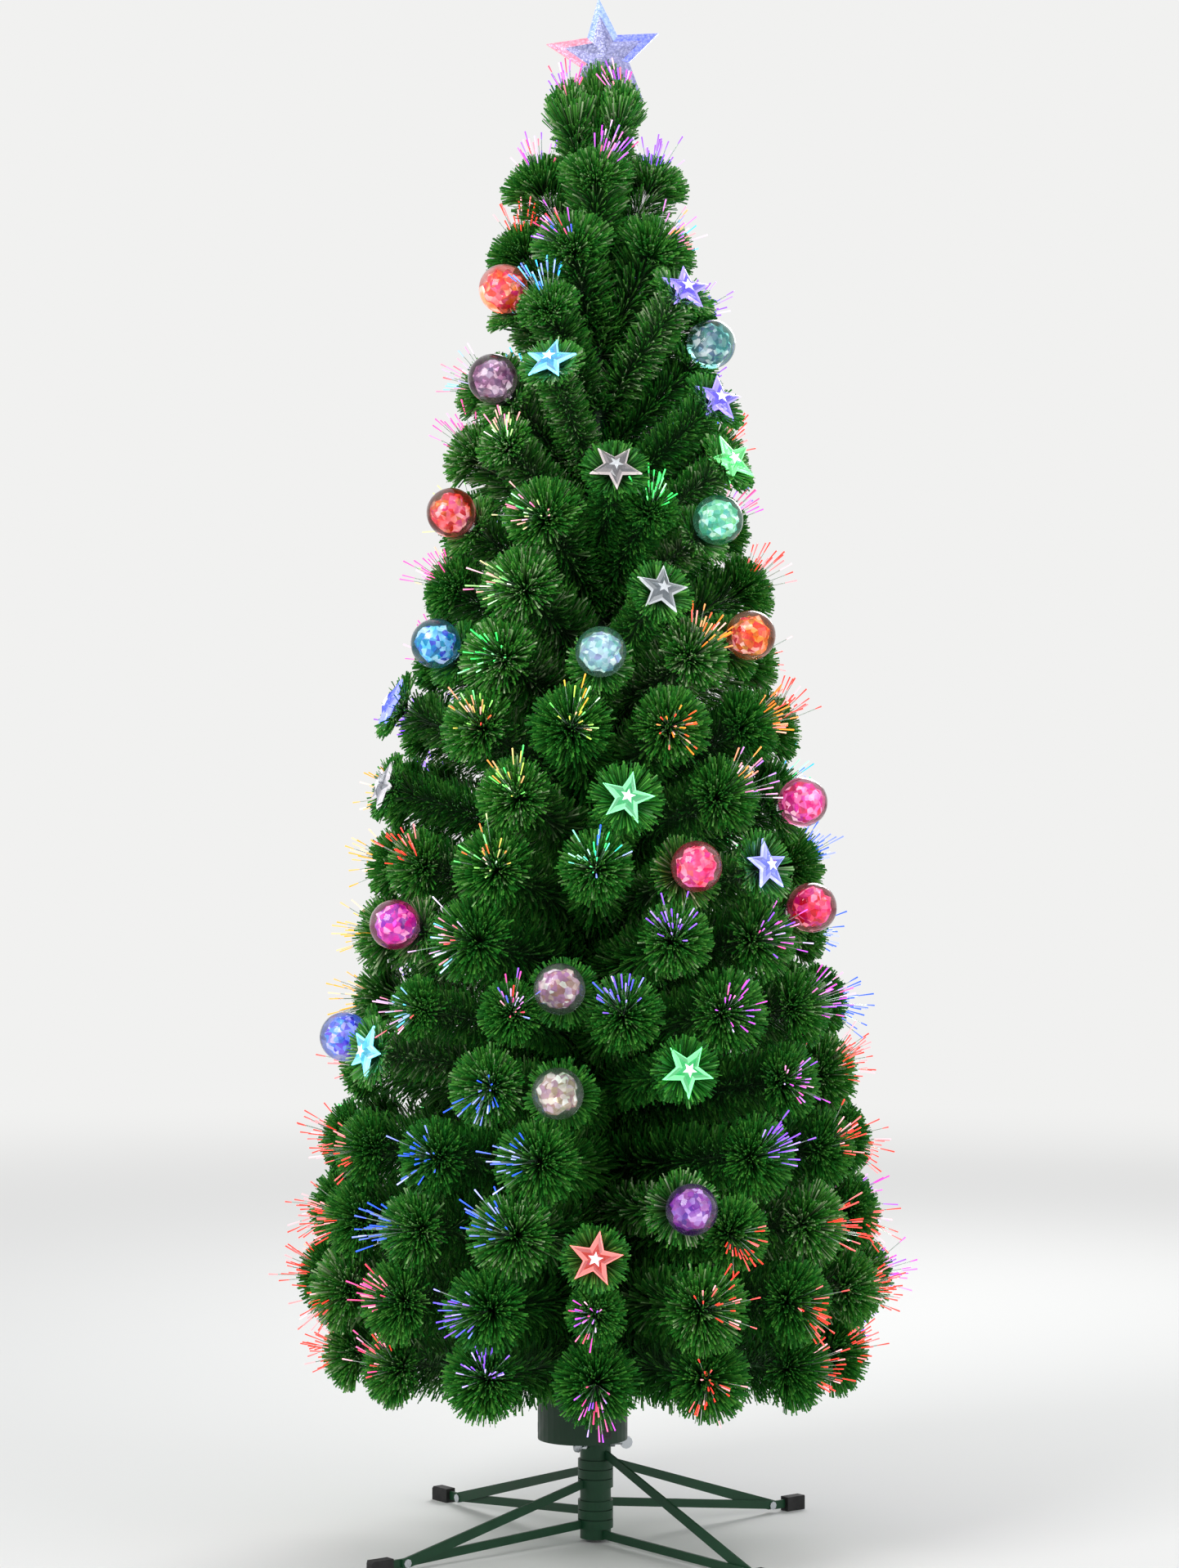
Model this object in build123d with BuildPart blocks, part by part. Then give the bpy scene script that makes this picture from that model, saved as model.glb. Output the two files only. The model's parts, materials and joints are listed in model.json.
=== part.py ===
from build123d import *
from functools import lru_cache
from math import asin, cos, degrees, pi, radians, sin, sqrt
import os

os.makedirs("parts", exist_ok=True)

# A slim fiber optic christmas tree, 1.8 m tall, on a folding steel stand.
# Millimetres. The origin is on the floor, under the trunk's axis. +Z is up,
# and the side of the photograph faces -Y.

# Fits, and the number of sides of drums, discs and small rounds
seat_gap = 0.3
running_gap = 0.05
overrun = 1.0
drum_sides = 36
fine_sides = 24
small_sides = 12
post_sides = 8

# Stand tube
tube_radius = 18.0
tube_wall = 1.6
tube_bottom = 4.0
tube_top = 124.0

# Legs: each is a sloping strip over a level one, both on edge, on rings round the tube
leg_reach = 320.0
leg_angles = (-52, 38, 128, 218)
strip_height = 10.0
strip_thickness = 3.0
ring_wall = 2.2
ring_pitch = 11.2
lower_ring_start = 5.0
upper_ring_start = 97.0
toe_height = 4.0
toe_length = 42.0
rivet_inset = 50.0
rivet_radius = 2.5
rivet_head_radius = 5.0
rivet_head_height = 1.4
cap_length = 30.0
cap_width = 13.0
cap_wall = 3.0

# Clamp screws through the top of the tube
screw_angles = (-5, 115, 235)
screw_height = 115.5
screw_radius = 3.0
screw_length = 15.0
nut_radius = 5.8
nut_height = 5.0
paddle_radius = 7.5
paddle_thickness = 3.0

# Lamp housing: a drum whose axis stands beside the trunk's, in front of it
lamp_angle = 240
lamp_offset = 30.0
housing_radius = 52.0
housing_wall = 2.5
housing_floor = 3.0
housing_split = 152.0
housing_top = 197.0
shoulder = 11.0
spigot_wall = 2.4
spigot_length = 70.0
collar_radius = 17.6
collar_top = 205.0
collar_bottom = 166.0
boss_angles = (125, 240, 355)
boss_radius = 3.3
boss_screw_radius = 1.6
boss_screw_head_radius = 2.6
boss_screw_head_height = 2.0
boss_screw_length = 34.0
vent_count = 5
vent_width = 2.4
vent_length = 18.0

# Lamp, motor and colour wheel inside the housing
sink_radius = 14.0
sink_base = 4.0
sink_height = 13.0
sink_fins = 5
sink_fin_gap = 3.4
board_radius = 13.0
board_thickness = 1.6
lens_radius = 8.0
lens_height = 8.5
motor_radius = 13.2
motor_height = 18.0
motor_pad = 2.6
motor_ear_reach = 17.5
motor_ear_radius = 3.5
motor_ear_thickness = 1.0
motor_post_radius = 3.0
shaft_radius = 2.5
shaft_depth = 5.0
shaft_length = 18.0
wheel_bottom = 156.6
wheel_thickness = 1.2
wheel_rim_height = 2.4
wheel_rim_width = 1.6
wheel_radius = 39.6
wheel_spokes = 6
wheel_spoke_width = 1.4
hub_radius = 6.0
hub_height = 6.0
control_length = 34.0
control_width = 15.0
control_thickness = 1.6
control_stand_off = 3.4
control_reach = 30.0
control_chip = 7.0
control_chip_height = 2.2
inlet_angle = 180
inlet_width = 10.0
inlet_height = 11.0
inlet_depth = 13.0
inlet_bore = 3.1
inlet_pin = 1.0
inlet_lift = 5.0
switch_angle = 300
switch_width = 13.0
switch_height = 9.0
switch_depth = 9.0
switch_bezel = 1.5
switch_bezel_height = 1.2
switch_wall = 1.2
rocker_tilt = 8
rocker_pin_radius = 1.0
rocker_depth = 3.4

# Trunk: two tubes, one plugged into the other, with the fibre bundles inside
lower_pole_radius = 14.0
lower_pole_wall = 1.5
pole_bottom = 178.0
pole_joint_height = 880.0
plug_depth = 60.0
upper_pole_wall = 1.2
stop_ring_height = 6.0
pole_top_drop = 160.0
pole_cap_height = 4.0
bundle_radius = 8.5
ferrule_radius = 13.0
ferrule_bottom = 164.0
bundle_split = 0.6
lower_bundle_drop = 30.0
upper_bundle_drop = 20.0

# Crown of the tree
crown_height = 1760.0
widest_reach_share = 0.1966
widest_height = 300.0
bottom_tuck_share = 0.08
taper_power = 0.66
lowest_tip_height = 230.0
highest_tip_drop = 70.0
lowest_root_height = 216.0
highest_root_drop = 222.0
tier_count = 19
lower_node_count = 5
upper_node_count = 4
tip_spacing = 138.0
least_branches = 4
sleeve_wall = 2.2
sleeve_margin = 9.0

# A branch: a thin stem that swells into a brush of needles and ends in a domed tuft
tuft_sides = 5
tuft_radius = 39.0
top_tuft_radius = 23.0
least_tuft_radius = 15.0
tuft_gap = 1.5
brush_start_share = 0.72
brush_radius_share = 0.45
dome_height = 17.0
dome_radius_share = 0.6
strand_radius = 0.9
strand_length = 34.0
strand_depth = 5.0
strand_place_share = 0.36
strands_per_tuft = 2
collar_tuft_radius = 27.0

# Ornaments
ball_radius = 28.5
ball_sides = 7
ball_ring_angles = (-60, -20, 20, 60)
star_radius = 31.0
star_waist_share = 0.46
star_plate = 4.0
star_peak = 8.0
star_points = 5
holder_radius = 6.5
holder_height = 6.0
holder_sides = 4
ball_stand_out = -2.0
star_stand_out = 14.0
ornament_room = 33.0

# Top star, which slides down over a thin post
top_star_radius = 69.0
top_star_waist_share = 0.47
top_star_plate = 2.5
top_star_peak = 11.0
top_star_rise = 129.0
top_star_turn = 5.5
post_radius = 2.5
post_lean = 4.5
post_end_gap = 3.4
socket_wall = 2.0
socket_length = 52.0

# The photograph: where the camera stood, in shares of the crown's height, and
# where ornaments are seen in it
camera_distance_share = 2.45
camera_height_share = 0.5011
camera_side_share = -0.004
pixel_focal = 4525
centre_pixel = (721, 959)
edge_share = 0.97
sight_rounds = 8
ball_pixels = (
    (614, 353), (601, 463), (890, 421), (550, 627), (880, 636), (531, 787), (735, 797), (920, 777),
    (984, 981), (853, 1060), (995, 1110), (481, 1131), (684, 1210), (682, 1338), (385, 1268), (847, 1480),
)
star_pixels = (
    (829, 352), (677, 440), (868, 487), (751, 571), (884, 562), (805, 721), (486, 860),
    (481, 960), (765, 975), (929, 1058), (459, 1285), (836, 1308), (728, 1538),
)

# Places and sizes that follow from those above
tube_bore = tube_radius - tube_wall
rivet_reach = leg_reach - rivet_inset
ring_bore = tube_radius + seat_gap
housing_bottom = tube_top + seat_gap
floor_top = housing_bottom + housing_floor
spigot_radius = tube_bore - seat_gap
lamp_x = lamp_offset * cos(radians(lamp_angle))
lamp_y = lamp_offset * sin(radians(lamp_angle))
lamp_axis = Vector(lamp_x, lamp_y)
lamp_plane = Plane(origin=lamp_axis)
boss_reach = housing_radius - housing_wall - 0.8 * boss_radius
sink_top = floor_top + sink_height
board_top = sink_top + board_thickness
motor_top = floor_top + motor_pad + motor_height
upper_pole_radius = lower_pole_radius - lower_pole_wall - seat_gap
plug_bottom = pole_joint_height - plug_depth
stop_ring_bottom = pole_joint_height + seat_gap
pole_top = crown_height - pole_top_drop
widest_reach = widest_reach_share * crown_height
highest_tip_height = crown_height - highest_tip_drop
highest_root_height = crown_height - highest_root_drop
top_star_height = pole_top + top_star_rise
post_length = (top_star_rise - pole_cap_height) / cos(radians(post_lean)) - post_end_gap


def radial_plane(angle, reach, height, centre=(0, 0)):
    """A plane square to the ray at an angle, with its x level and its y up."""
    ray = Vector(cos(radians(angle)), sin(radians(angle)), 0)
    origin = Vector(centre[0], centre[1], height) + ray * reach
    return Plane(origin=origin, x_dir=Vector(0, 0, 1).cross(ray), z_dir=ray)


def upright_plane(angle):
    """A plane that holds the Z axis and the ray at an angle: x is outward and y is up."""
    ray = Vector(cos(radians(angle)), sin(radians(angle)), 0)
    return Plane(origin=(0, 0, 0), x_dir=ray, z_dir=ray.cross(Vector(0, 0, 1)))


def plane_along(start, end):
    """A plane at start whose normal points at end and whose x is level."""
    direction = (end - start).normalized()
    return Plane(origin=start, x_dir=Vector(0, 0, 1).cross(direction), z_dir=direction)


def save(piece, name):
    """Label a finished piece and write its file."""
    piece.part.label = name
    export_step(piece.part, f"parts/{name}.step")


def corners(radius, sides, height, foot=Vector(0, 0)):
    """The corners of a level regular polygon over a foot point."""
    centre = foot + Vector(0, 0, height)
    return [centre + Vector(radius, 0).rotate(Axis.Z, 360 * side / sides) for side in range(sides)]


def make_ring(plane, outer_radius, inner_radius, height):
    """A plain tube or band standing on a plane."""
    with BuildSketch(plane) as band:
        Circle(outer_radius)
        Circle(inner_radius, mode=Mode.SUBTRACT)
    extrude(band.sketch, amount=height)


def make_flat_ring(plane, outer_radius, inner_radius, height, sides):
    """A tube with flat sides: it fits inside one radius and stays clear of the other."""
    with BuildSketch(plane) as band:
        RegularPolygon(outer_radius, sides)
        RegularPolygon(inner_radius, sides, major_radius=False, mode=Mode.SUBTRACT)
    extrude(band.sketch, amount=height)


# Stand

def make_stand_tube():
    """The centre tube, with a hole for each clamp screw."""
    with BuildPart() as tube:
        make_ring(Plane.XY.offset(tube_bottom), tube_radius, tube_bore, tube_top - tube_bottom)
        for angle in screw_angles:
            with BuildSketch(radial_plane(angle, 0, screw_height)):
                RegularPolygon(screw_radius + running_gap, small_sides, major_radius=False)
            extrude(amount=tube_radius + overrun, mode=Mode.SUBTRACT)
    save(tube, "stand_tube")


def cut_tube():
    """Shape a welded piece to the outside of the tube."""
    with BuildSketch(Plane.XY.offset(tube_bottom)) as tube:
        Circle(tube_radius)
    extrude(tube.sketch, amount=tube_top - tube_bottom, mode=Mode.SUBTRACT)


def make_clamp_nuts():
    """Three hexagon nuts welded to the tube."""
    with BuildPart() as nuts:
        for angle in screw_angles:
            with BuildSketch(radial_plane(angle, tube_bore, screw_height)):
                RegularPolygon(nut_radius, 6)
                RegularPolygon(
                    screw_radius + running_gap, small_sides, major_radius=False, mode=Mode.SUBTRACT
                )
            extrude(amount=tube_wall + nut_height)
        cut_tube()
    save(nuts, "clamp_nuts")


def make_clamp_screw(number, angle):
    """A thumb screw: a round shank that ends in a flat paddle."""
    with BuildPart() as screw:
        with BuildSketch(radial_plane(angle, tube_bore, screw_height)):
            Circle(screw_radius)
        extrude(amount=screw_length)
        paddle_centre = tube_bore + screw_length + paddle_radius - paddle_thickness
        with BuildSketch(upright_plane(angle)):
            with Locations((paddle_centre, screw_height)):
                RegularPolygon(paddle_radius, small_sides)
        extrude(amount=paddle_thickness / 2, both=True)
    save(screw, f"clamp_screw_{number}")


def make_leg(number, angle, upper_ring_bottom, lower_ring_bottom, is_fixed):
    """One leg: two riveted strips and a rubber cap. The fixed leg's strips are welded on."""
    plane = upright_plane(angle)
    start = tube_bore if is_fixed else ring_bore + ring_wall / 2
    knee = ring_bore + ring_wall + seat_gap
    rivet_height = toe_height + strip_height / 2
    toe_start = leg_reach - cap_wall - toe_length
    strip_end = rivet_reach + rivet_head_radius + rivet_head_height

    with BuildPart() as upper_strip:
        if not is_fixed:
            make_ring(Plane.XY.offset(upper_ring_bottom), ring_bore + ring_wall, ring_bore, strip_height)
        with BuildSketch(plane):
            with BuildLine():
                Polyline(
                    (start, upper_ring_bottom),
                    (start, upper_ring_bottom + strip_height),
                    (knee, upper_ring_bottom + strip_height),
                    (strip_end, toe_height + strip_height),
                    (strip_end, toe_height),
                    (strip_end - strip_height, toe_height),
                    (knee, upper_ring_bottom),
                    close=True,
                )
            make_face()
        extrude(amount=-strip_thickness)
        with BuildSketch(plane):
            with Locations((rivet_reach, rivet_height)):
                RegularPolygon(rivet_radius, post_sides)
        extrude(amount=-strip_thickness, mode=Mode.SUBTRACT)
        if is_fixed:
            cut_tube()
    save(upper_strip, f"leg_{number}_upper_strip")

    with BuildPart() as lower_strip:
        if not is_fixed:
            make_ring(Plane.XY.offset(lower_ring_bottom), ring_bore + ring_wall, ring_bore, strip_height)
        with BuildSketch(plane):
            with BuildLine():
                Polyline(
                    (start, lower_ring_bottom),
                    (start, lower_ring_bottom + strip_height),
                    (knee, lower_ring_bottom + strip_height),
                    (toe_start, toe_height + strip_height),
                    (leg_reach - cap_wall, toe_height + strip_height),
                    (leg_reach - cap_wall, toe_height),
                    (toe_start, toe_height),
                    (knee, lower_ring_bottom),
                    close=True,
                )
            make_face()
        extrude(amount=strip_thickness)
        with BuildSketch(plane):
            with Locations((rivet_reach, rivet_height)):
                RegularPolygon(rivet_radius, post_sides)
        extrude(amount=strip_thickness, mode=Mode.SUBTRACT)
        if is_fixed:
            cut_tube()
    save(lower_strip, f"leg_{number}_lower_strip")

    with BuildPart() as rivet:
        with BuildSketch(plane.offset(-strip_thickness)):
            with Locations((rivet_reach, rivet_height)):
                RegularPolygon(rivet_radius, post_sides)
        extrude(amount=2 * strip_thickness)
        for head_plane, amount in (
            (plane.offset(-strip_thickness), -rivet_head_height),
            (plane.offset(strip_thickness), rivet_head_height),
        ):
            with BuildSketch(head_plane):
                with Locations((rivet_reach, rivet_height)):
                    RegularPolygon(rivet_head_radius, post_sides)
            extrude(amount=amount)
    save(rivet, f"leg_{number}_rivet")

    with BuildPart() as foot:
        with BuildSketch(plane.offset((strip_thickness - cap_width) / 2)):
            with BuildLine():
                Polyline(
                    (leg_reach - cap_length, 0),
                    (leg_reach, 0),
                    (leg_reach, toe_height + strip_height),
                    (leg_reach - cap_wall, toe_height + strip_height + cap_wall),
                    (leg_reach - cap_length, toe_height + strip_height + cap_wall),
                    close=True,
                )
            make_face()
        extrude(amount=cap_width)
        chamfer(foot.edges().filter_by(Axis.Z).group_by(SortBy.DISTANCE)[-1], cap_wall)
        with BuildSketch(plane):
            with Locations((leg_reach - (cap_wall + cap_length) / 2, toe_height + strip_height / 2)):
                Rectangle(cap_length - cap_wall, strip_height)
        extrude(amount=strip_thickness, mode=Mode.SUBTRACT)
    save(foot, f"leg_{number}_foot")


# Lamp housing

def make_housing_base():
    """The lower shell, with the spigot that drops into the stand tube."""
    with BuildPart() as base:
        with BuildSketch(lamp_plane.offset(housing_bottom)):
            RegularPolygon(housing_radius, drum_sides)
        extrude(amount=housing_split - housing_bottom)
        with BuildSketch(lamp_plane.offset(floor_top)):
            RegularPolygon(housing_radius - housing_wall, drum_sides)
        extrude(amount=housing_split - floor_top, mode=Mode.SUBTRACT)
        make_flat_ring(
            Plane.XY.offset(housing_bottom), spigot_radius, spigot_radius - spigot_wall,
            -spigot_length, fine_sides,
        )
        with BuildSketch(lamp_plane.offset(floor_top)):
            RegularPolygon(motor_radius, fine_sides)
        extrude(amount=motor_pad)
        with BuildSketch(lamp_plane.offset(floor_top)):
            for side in (-90, 90):
                with Locations(Vector(motor_ear_reach, 0).rotate(Axis.Z, lamp_angle + side)):
                    RegularPolygon(motor_post_radius, post_sides)
        extrude(amount=motor_top - motor_ear_thickness - floor_top)
        with BuildSketch(lamp_plane.offset(floor_top)):
            with Locations(Vector(control_reach, 0).rotate(Axis.Z, lamp_angle)):
                with Locations(*control_corners()):
                    RegularPolygon(motor_post_radius / 2, post_sides)
        extrude(amount=control_stand_off)
        with BuildSketch(lamp_plane.offset(floor_top)):
            for angle in boss_angles:
                with Locations(Vector(boss_reach, 0).rotate(Axis.Z, angle)):
                    RegularPolygon(boss_radius, post_sides)
        extrude(amount=housing_split - floor_top)
        with BuildSketch(lamp_plane.offset(housing_bottom)):
            for angle in boss_angles:
                with Locations(Vector(boss_reach, 0).rotate(Axis.Z, angle)):
                    RegularPolygon(boss_screw_radius, post_sides)
        extrude(amount=housing_split - housing_bottom, mode=Mode.SUBTRACT)
        with BuildSketch(lamp_plane.offset(housing_bottom)):
            for angle in boss_angles:
                with Locations(Vector(boss_reach, 0).rotate(Axis.Z, angle)):
                    RegularPolygon(boss_screw_head_radius, post_sides)
        extrude(amount=boss_screw_head_height, mode=Mode.SUBTRACT)
        with BuildSketch(Plane.XY.offset(housing_bottom)):
            with GridLocations(2 * vent_width, 0, vent_count, 1):
                Rectangle(vent_width, vent_length)
        extrude(amount=housing_floor, mode=Mode.SUBTRACT)
        for angle, width, height in (
            (inlet_angle, inlet_width, inlet_height),
            (switch_angle, switch_width, switch_height),
        ):
            with BuildSketch(wall_plane(angle, height)):
                Rectangle(width, height)
            extrude(amount=-switch_depth, mode=Mode.SUBTRACT)
    save(base, "housing_base")


def wall_plane(angle, height):
    """The plane just outside the housing's wall where an inlet or a switch of a height sits."""
    level = floor_top + inlet_lift + height / 2
    return radial_plane(angle, housing_radius, level, (lamp_x, lamp_y))


def control_corners():
    """The two ends of the control board, where its posts stand."""
    tangent = Vector(0, 1).rotate(Axis.Z, lamp_angle)
    return [tangent * (side * (control_length / 2 - control_chip / 2)) for side in (-1, 1)]


def make_housing_cover():
    """The upper shell, round-shouldered, with the collar that holds the trunk."""
    with BuildPart() as cover:
        for wall, mode in ((0, Mode.ADD), (housing_wall, Mode.SUBTRACT)):
            radius = housing_radius - wall
            top = housing_top - wall
            ConvexPolyhedron(
                corners(radius, drum_sides, housing_split, lamp_axis)
                + corners(radius, drum_sides, top - shoulder, lamp_axis)
                + corners(radius - shoulder, drum_sides, top, lamp_axis),
                mode=mode,
            )
        with BuildSketch(Plane.XY.offset(collar_bottom)):
            RegularPolygon(collar_radius, fine_sides)
        extrude(amount=collar_top - collar_bottom)
        with BuildSketch(lamp_plane.offset(housing_split)):
            for angle in boss_angles:
                with Locations(Vector(boss_reach, 0).rotate(Axis.Z, angle)):
                    RegularPolygon(boss_radius, post_sides)
        extrude(amount=housing_top - housing_split - housing_wall)
        with BuildSketch(lamp_plane.offset(housing_split)):
            for angle in boss_angles:
                with Locations(Vector(boss_reach, 0).rotate(Axis.Z, angle)):
                    RegularPolygon(boss_screw_radius, post_sides)
        extrude(amount=boss_screw_length / 2, mode=Mode.SUBTRACT)
        with BuildSketch(Plane.XY.offset(pole_bottom)):
            Circle(lower_pole_radius)
        extrude(amount=collar_top - pole_bottom, mode=Mode.SUBTRACT)
        with BuildSketch(Plane.XY.offset(collar_bottom)):
            Circle(ferrule_radius)
        extrude(amount=pole_bottom - collar_bottom, mode=Mode.SUBTRACT)
    save(cover, "housing_cover")


def make_housing_screws():
    """Three screws that come up through the base into the cover."""
    with BuildPart() as screws:
        for angle in boss_angles:
            place = lamp_plane.offset(housing_bottom).origin + Vector(boss_reach, 0).rotate(Axis.Z, angle)
            with BuildSketch(Plane(origin=place)):
                RegularPolygon(boss_screw_head_radius, post_sides)
            extrude(amount=boss_screw_head_height)
            with BuildSketch(Plane(origin=place)):
                RegularPolygon(boss_screw_radius, post_sides)
            extrude(amount=boss_screw_length)
    save(screws, "housing_screws")


def make_lamp():
    """Heat sink, light board and lens, stacked under the trunk's axis."""
    with BuildPart() as sink:
        with BuildSketch(Plane.XY.offset(floor_top)):
            RegularPolygon(sink_radius, fine_sides)
        extrude(amount=sink_height)
        with BuildSketch(Plane.XY.offset(floor_top)):
            with GridLocations(0, 2 * sink_radius / sink_fins, 1, sink_fins):
                Rectangle(2 * (sink_radius + overrun), sink_fin_gap)
        extrude(amount=sink_height - sink_base, mode=Mode.SUBTRACT)
    save(sink, "heat_sink")

    with BuildPart() as board:
        with BuildSketch(Plane.XY.offset(sink_top)):
            RegularPolygon(board_radius, fine_sides)
        extrude(amount=board_thickness)
    save(board, "led_board")

    with BuildPart() as lens:
        with BuildSketch(Plane.XY.offset(board_top)):
            RegularPolygon(lens_radius, small_sides)
        extrude(amount=lens_height)
        chamfer(lens.edges().group_by(Axis.Z)[-1], lens_radius / 3)
    save(lens, "led_lens")


def make_wheel_drive():
    """Gear motor, its output shaft and the colour wheel on it."""
    with BuildPart() as motor:
        with BuildSketch(lamp_plane.offset(floor_top + motor_pad)):
            RegularPolygon(motor_radius, fine_sides)
        extrude(amount=motor_height)
        with BuildSketch(lamp_plane.offset(motor_top - motor_ear_thickness)):
            for side in (-90, 90):
                with Locations(Vector(motor_ear_reach, 0).rotate(Axis.Z, lamp_angle + side)):
                    RegularPolygon(motor_ear_radius, post_sides)
            with Locations((0, 0)):
                Rectangle(2 * motor_ear_reach, 2 * motor_ear_radius, rotation=lamp_angle + 90)
        extrude(amount=motor_ear_thickness)
        with BuildSketch(lamp_plane.offset(motor_top)):
            Circle(shaft_radius + running_gap)
        extrude(amount=-shaft_depth, mode=Mode.SUBTRACT)
    save(motor, "gear_motor")

    with BuildPart() as shaft:
        with BuildSketch(lamp_plane.offset(motor_top - shaft_depth + seat_gap)):
            Circle(shaft_radius)
        extrude(amount=shaft_length)
    save(shaft, "motor_shaft")

    with BuildPart() as wheel:
        with BuildSketch(lamp_plane.offset(wheel_bottom)):
            RegularPolygon(wheel_radius, fine_sides)
        extrude(amount=wheel_thickness)
        with BuildSketch(lamp_plane.offset(wheel_bottom)):
            with PolarLocations(wheel_radius / 2, wheel_spokes):
                Rectangle(wheel_radius - wheel_rim_width, wheel_spoke_width)
        extrude(amount=wheel_rim_height)
        with BuildSketch(lamp_plane.offset(wheel_bottom)):
            RegularPolygon(hub_radius, small_sides)
        extrude(amount=hub_height)
        with BuildSketch(lamp_plane.offset(wheel_bottom)):
            Circle(shaft_radius)
        extrude(amount=hub_height, mode=Mode.SUBTRACT)
    save(wheel, "colour_wheel")


def make_controls():
    """Control board, power inlet, switch body and rocker."""
    with BuildPart() as board:
        centre = Vector(control_reach, 0).rotate(Axis.Z, lamp_angle)
        level = floor_top + control_stand_off
        with BuildSketch(lamp_plane.offset(level)):
            with Locations(centre):
                Rectangle(control_width, control_length, rotation=lamp_angle)
        extrude(amount=control_thickness)
        with BuildSketch(lamp_plane.offset(level + control_thickness)):
            with Locations(centre):
                Rectangle(control_chip, control_chip, rotation=lamp_angle)
                with Locations(*control_corners()):
                    RegularPolygon(control_chip / 3, post_sides)
        extrude(amount=control_chip_height)
    save(board, "control_board")

    with BuildPart() as inlet:
        plane = wall_plane(inlet_angle, inlet_height)
        with BuildSketch(plane):
            Rectangle(inlet_width, inlet_height)
            RegularPolygon(inlet_bore, small_sides, mode=Mode.SUBTRACT)
        extrude(amount=-inlet_depth + housing_wall)
        with BuildSketch(plane.offset(housing_wall - inlet_depth)):
            Rectangle(inlet_width, inlet_height)
        extrude(amount=-housing_wall)
        with BuildSketch(plane.offset(housing_wall - inlet_depth)):
            RegularPolygon(inlet_pin, post_sides)
        extrude(amount=inlet_depth - 2 * housing_wall)
    save(inlet, "dc_inlet")

    plane = wall_plane(switch_angle, switch_height)
    with BuildPart() as body:
        with BuildSketch(plane):
            Rectangle(switch_width, switch_height)
        extrude(amount=-switch_depth)
        with BuildSketch(plane):
            Rectangle(switch_width + 2 * switch_bezel, switch_height + 2 * switch_bezel)
        extrude(amount=switch_bezel_height)
        with BuildSketch(plane.offset(switch_bezel_height)):
            Rectangle(switch_width - 2 * switch_wall, switch_height - 2 * switch_wall)
        extrude(amount=-2 * rocker_depth, mode=Mode.SUBTRACT)
    save(body, "switch_body")

    rocker_half = switch_width / 2 - switch_wall - seat_gap
    rise = rocker_half * sin(radians(rocker_tilt))
    with BuildPart() as rocker:
        with BuildSketch(rocker_plane(plane)):
            with BuildLine():
                Polyline(
                    (-rocker_half, -rise),
                    (-rocker_half, 2 * rise),
                    (0, rise),
                    (rocker_half, 2 * rise),
                    (rocker_half, -rise),
                    (0, -rocker_depth),
                    close=True,
                )
            make_face()
        extrude(amount=switch_height / 2 - switch_wall - seat_gap, both=True)
        with BuildSketch(rocker_plane(plane)):
            Circle(rocker_pin_radius)
        extrude(amount=switch_height / 2 - switch_wall, both=True)
    save(rocker, "switch_rocker")


def rocker_plane(plane):
    """The rocker's own plane: x along the switch, y out of the wall."""
    return Plane(origin=plane.origin, x_dir=plane.x_dir, z_dir=-plane.y_dir)


# Trunk

def make_trunk():
    """The two tubes of the trunk, the ferrule and the bundles of fibres."""
    with BuildPart() as lower_pole:
        make_ring(
            Plane.XY.offset(pole_bottom), lower_pole_radius,
            lower_pole_radius - lower_pole_wall, pole_joint_height - pole_bottom,
        )
    save(lower_pole, "lower_pole")

    bore = upper_pole_radius - upper_pole_wall
    with BuildPart() as upper_pole:
        make_ring(Plane.XY.offset(plug_bottom), upper_pole_radius, bore, pole_top - plug_bottom)
        make_ring(Plane.XY.offset(stop_ring_bottom), lower_pole_radius, bore, stop_ring_height)
        with BuildSketch(Plane.XY.offset(pole_top)):
            Circle(upper_pole_radius)
        extrude(amount=pole_cap_height)
    save(upper_pole, "upper_pole")

    with BuildPart() as ferrule:
        make_flat_ring(
            Plane.XY.offset(ferrule_bottom), ferrule_radius,
            bundle_radius + seat_gap, pole_bottom - ferrule_bottom, fine_sides,
        )
    save(ferrule, "fibre_ferrule")

    for name, side, top in (
        ("lower_fibre_bundle", -1, pole_joint_height - lower_bundle_drop),
        ("upper_fibre_bundle", 1, pole_top - upper_bundle_drop),
    ):
        with BuildPart() as bundle:
            with BuildSketch(Plane.XY.offset(ferrule_bottom + overrun)):
                Circle(bundle_radius)
                with Locations((side * (bundle_split / 2 + bundle_radius), 0)):
                    Rectangle(2 * bundle_radius, 2 * bundle_radius, mode=Mode.INTERSECT)
            extrude(amount=top - ferrule_bottom - overrun)
        save(bundle, name)


# Branches

def reach_at(height):
    """Distance from the trunk's axis to the branch tips at a height."""
    if height < widest_height:
        drop = (widest_height - height) / (widest_height - lowest_tip_height)
        return widest_reach * (1 - bottom_tuck_share * drop**2)
    rise = (crown_height - height) / (crown_height - widest_height)
    return widest_reach * max(rise, 0) ** taper_power


def root_height(tip_height):
    """Height at which the branch that ends at a height leaves the trunk."""
    share = (tip_height - lowest_tip_height) / (highest_tip_height - lowest_tip_height)
    return lowest_root_height + share * (highest_root_height - lowest_root_height)


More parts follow.
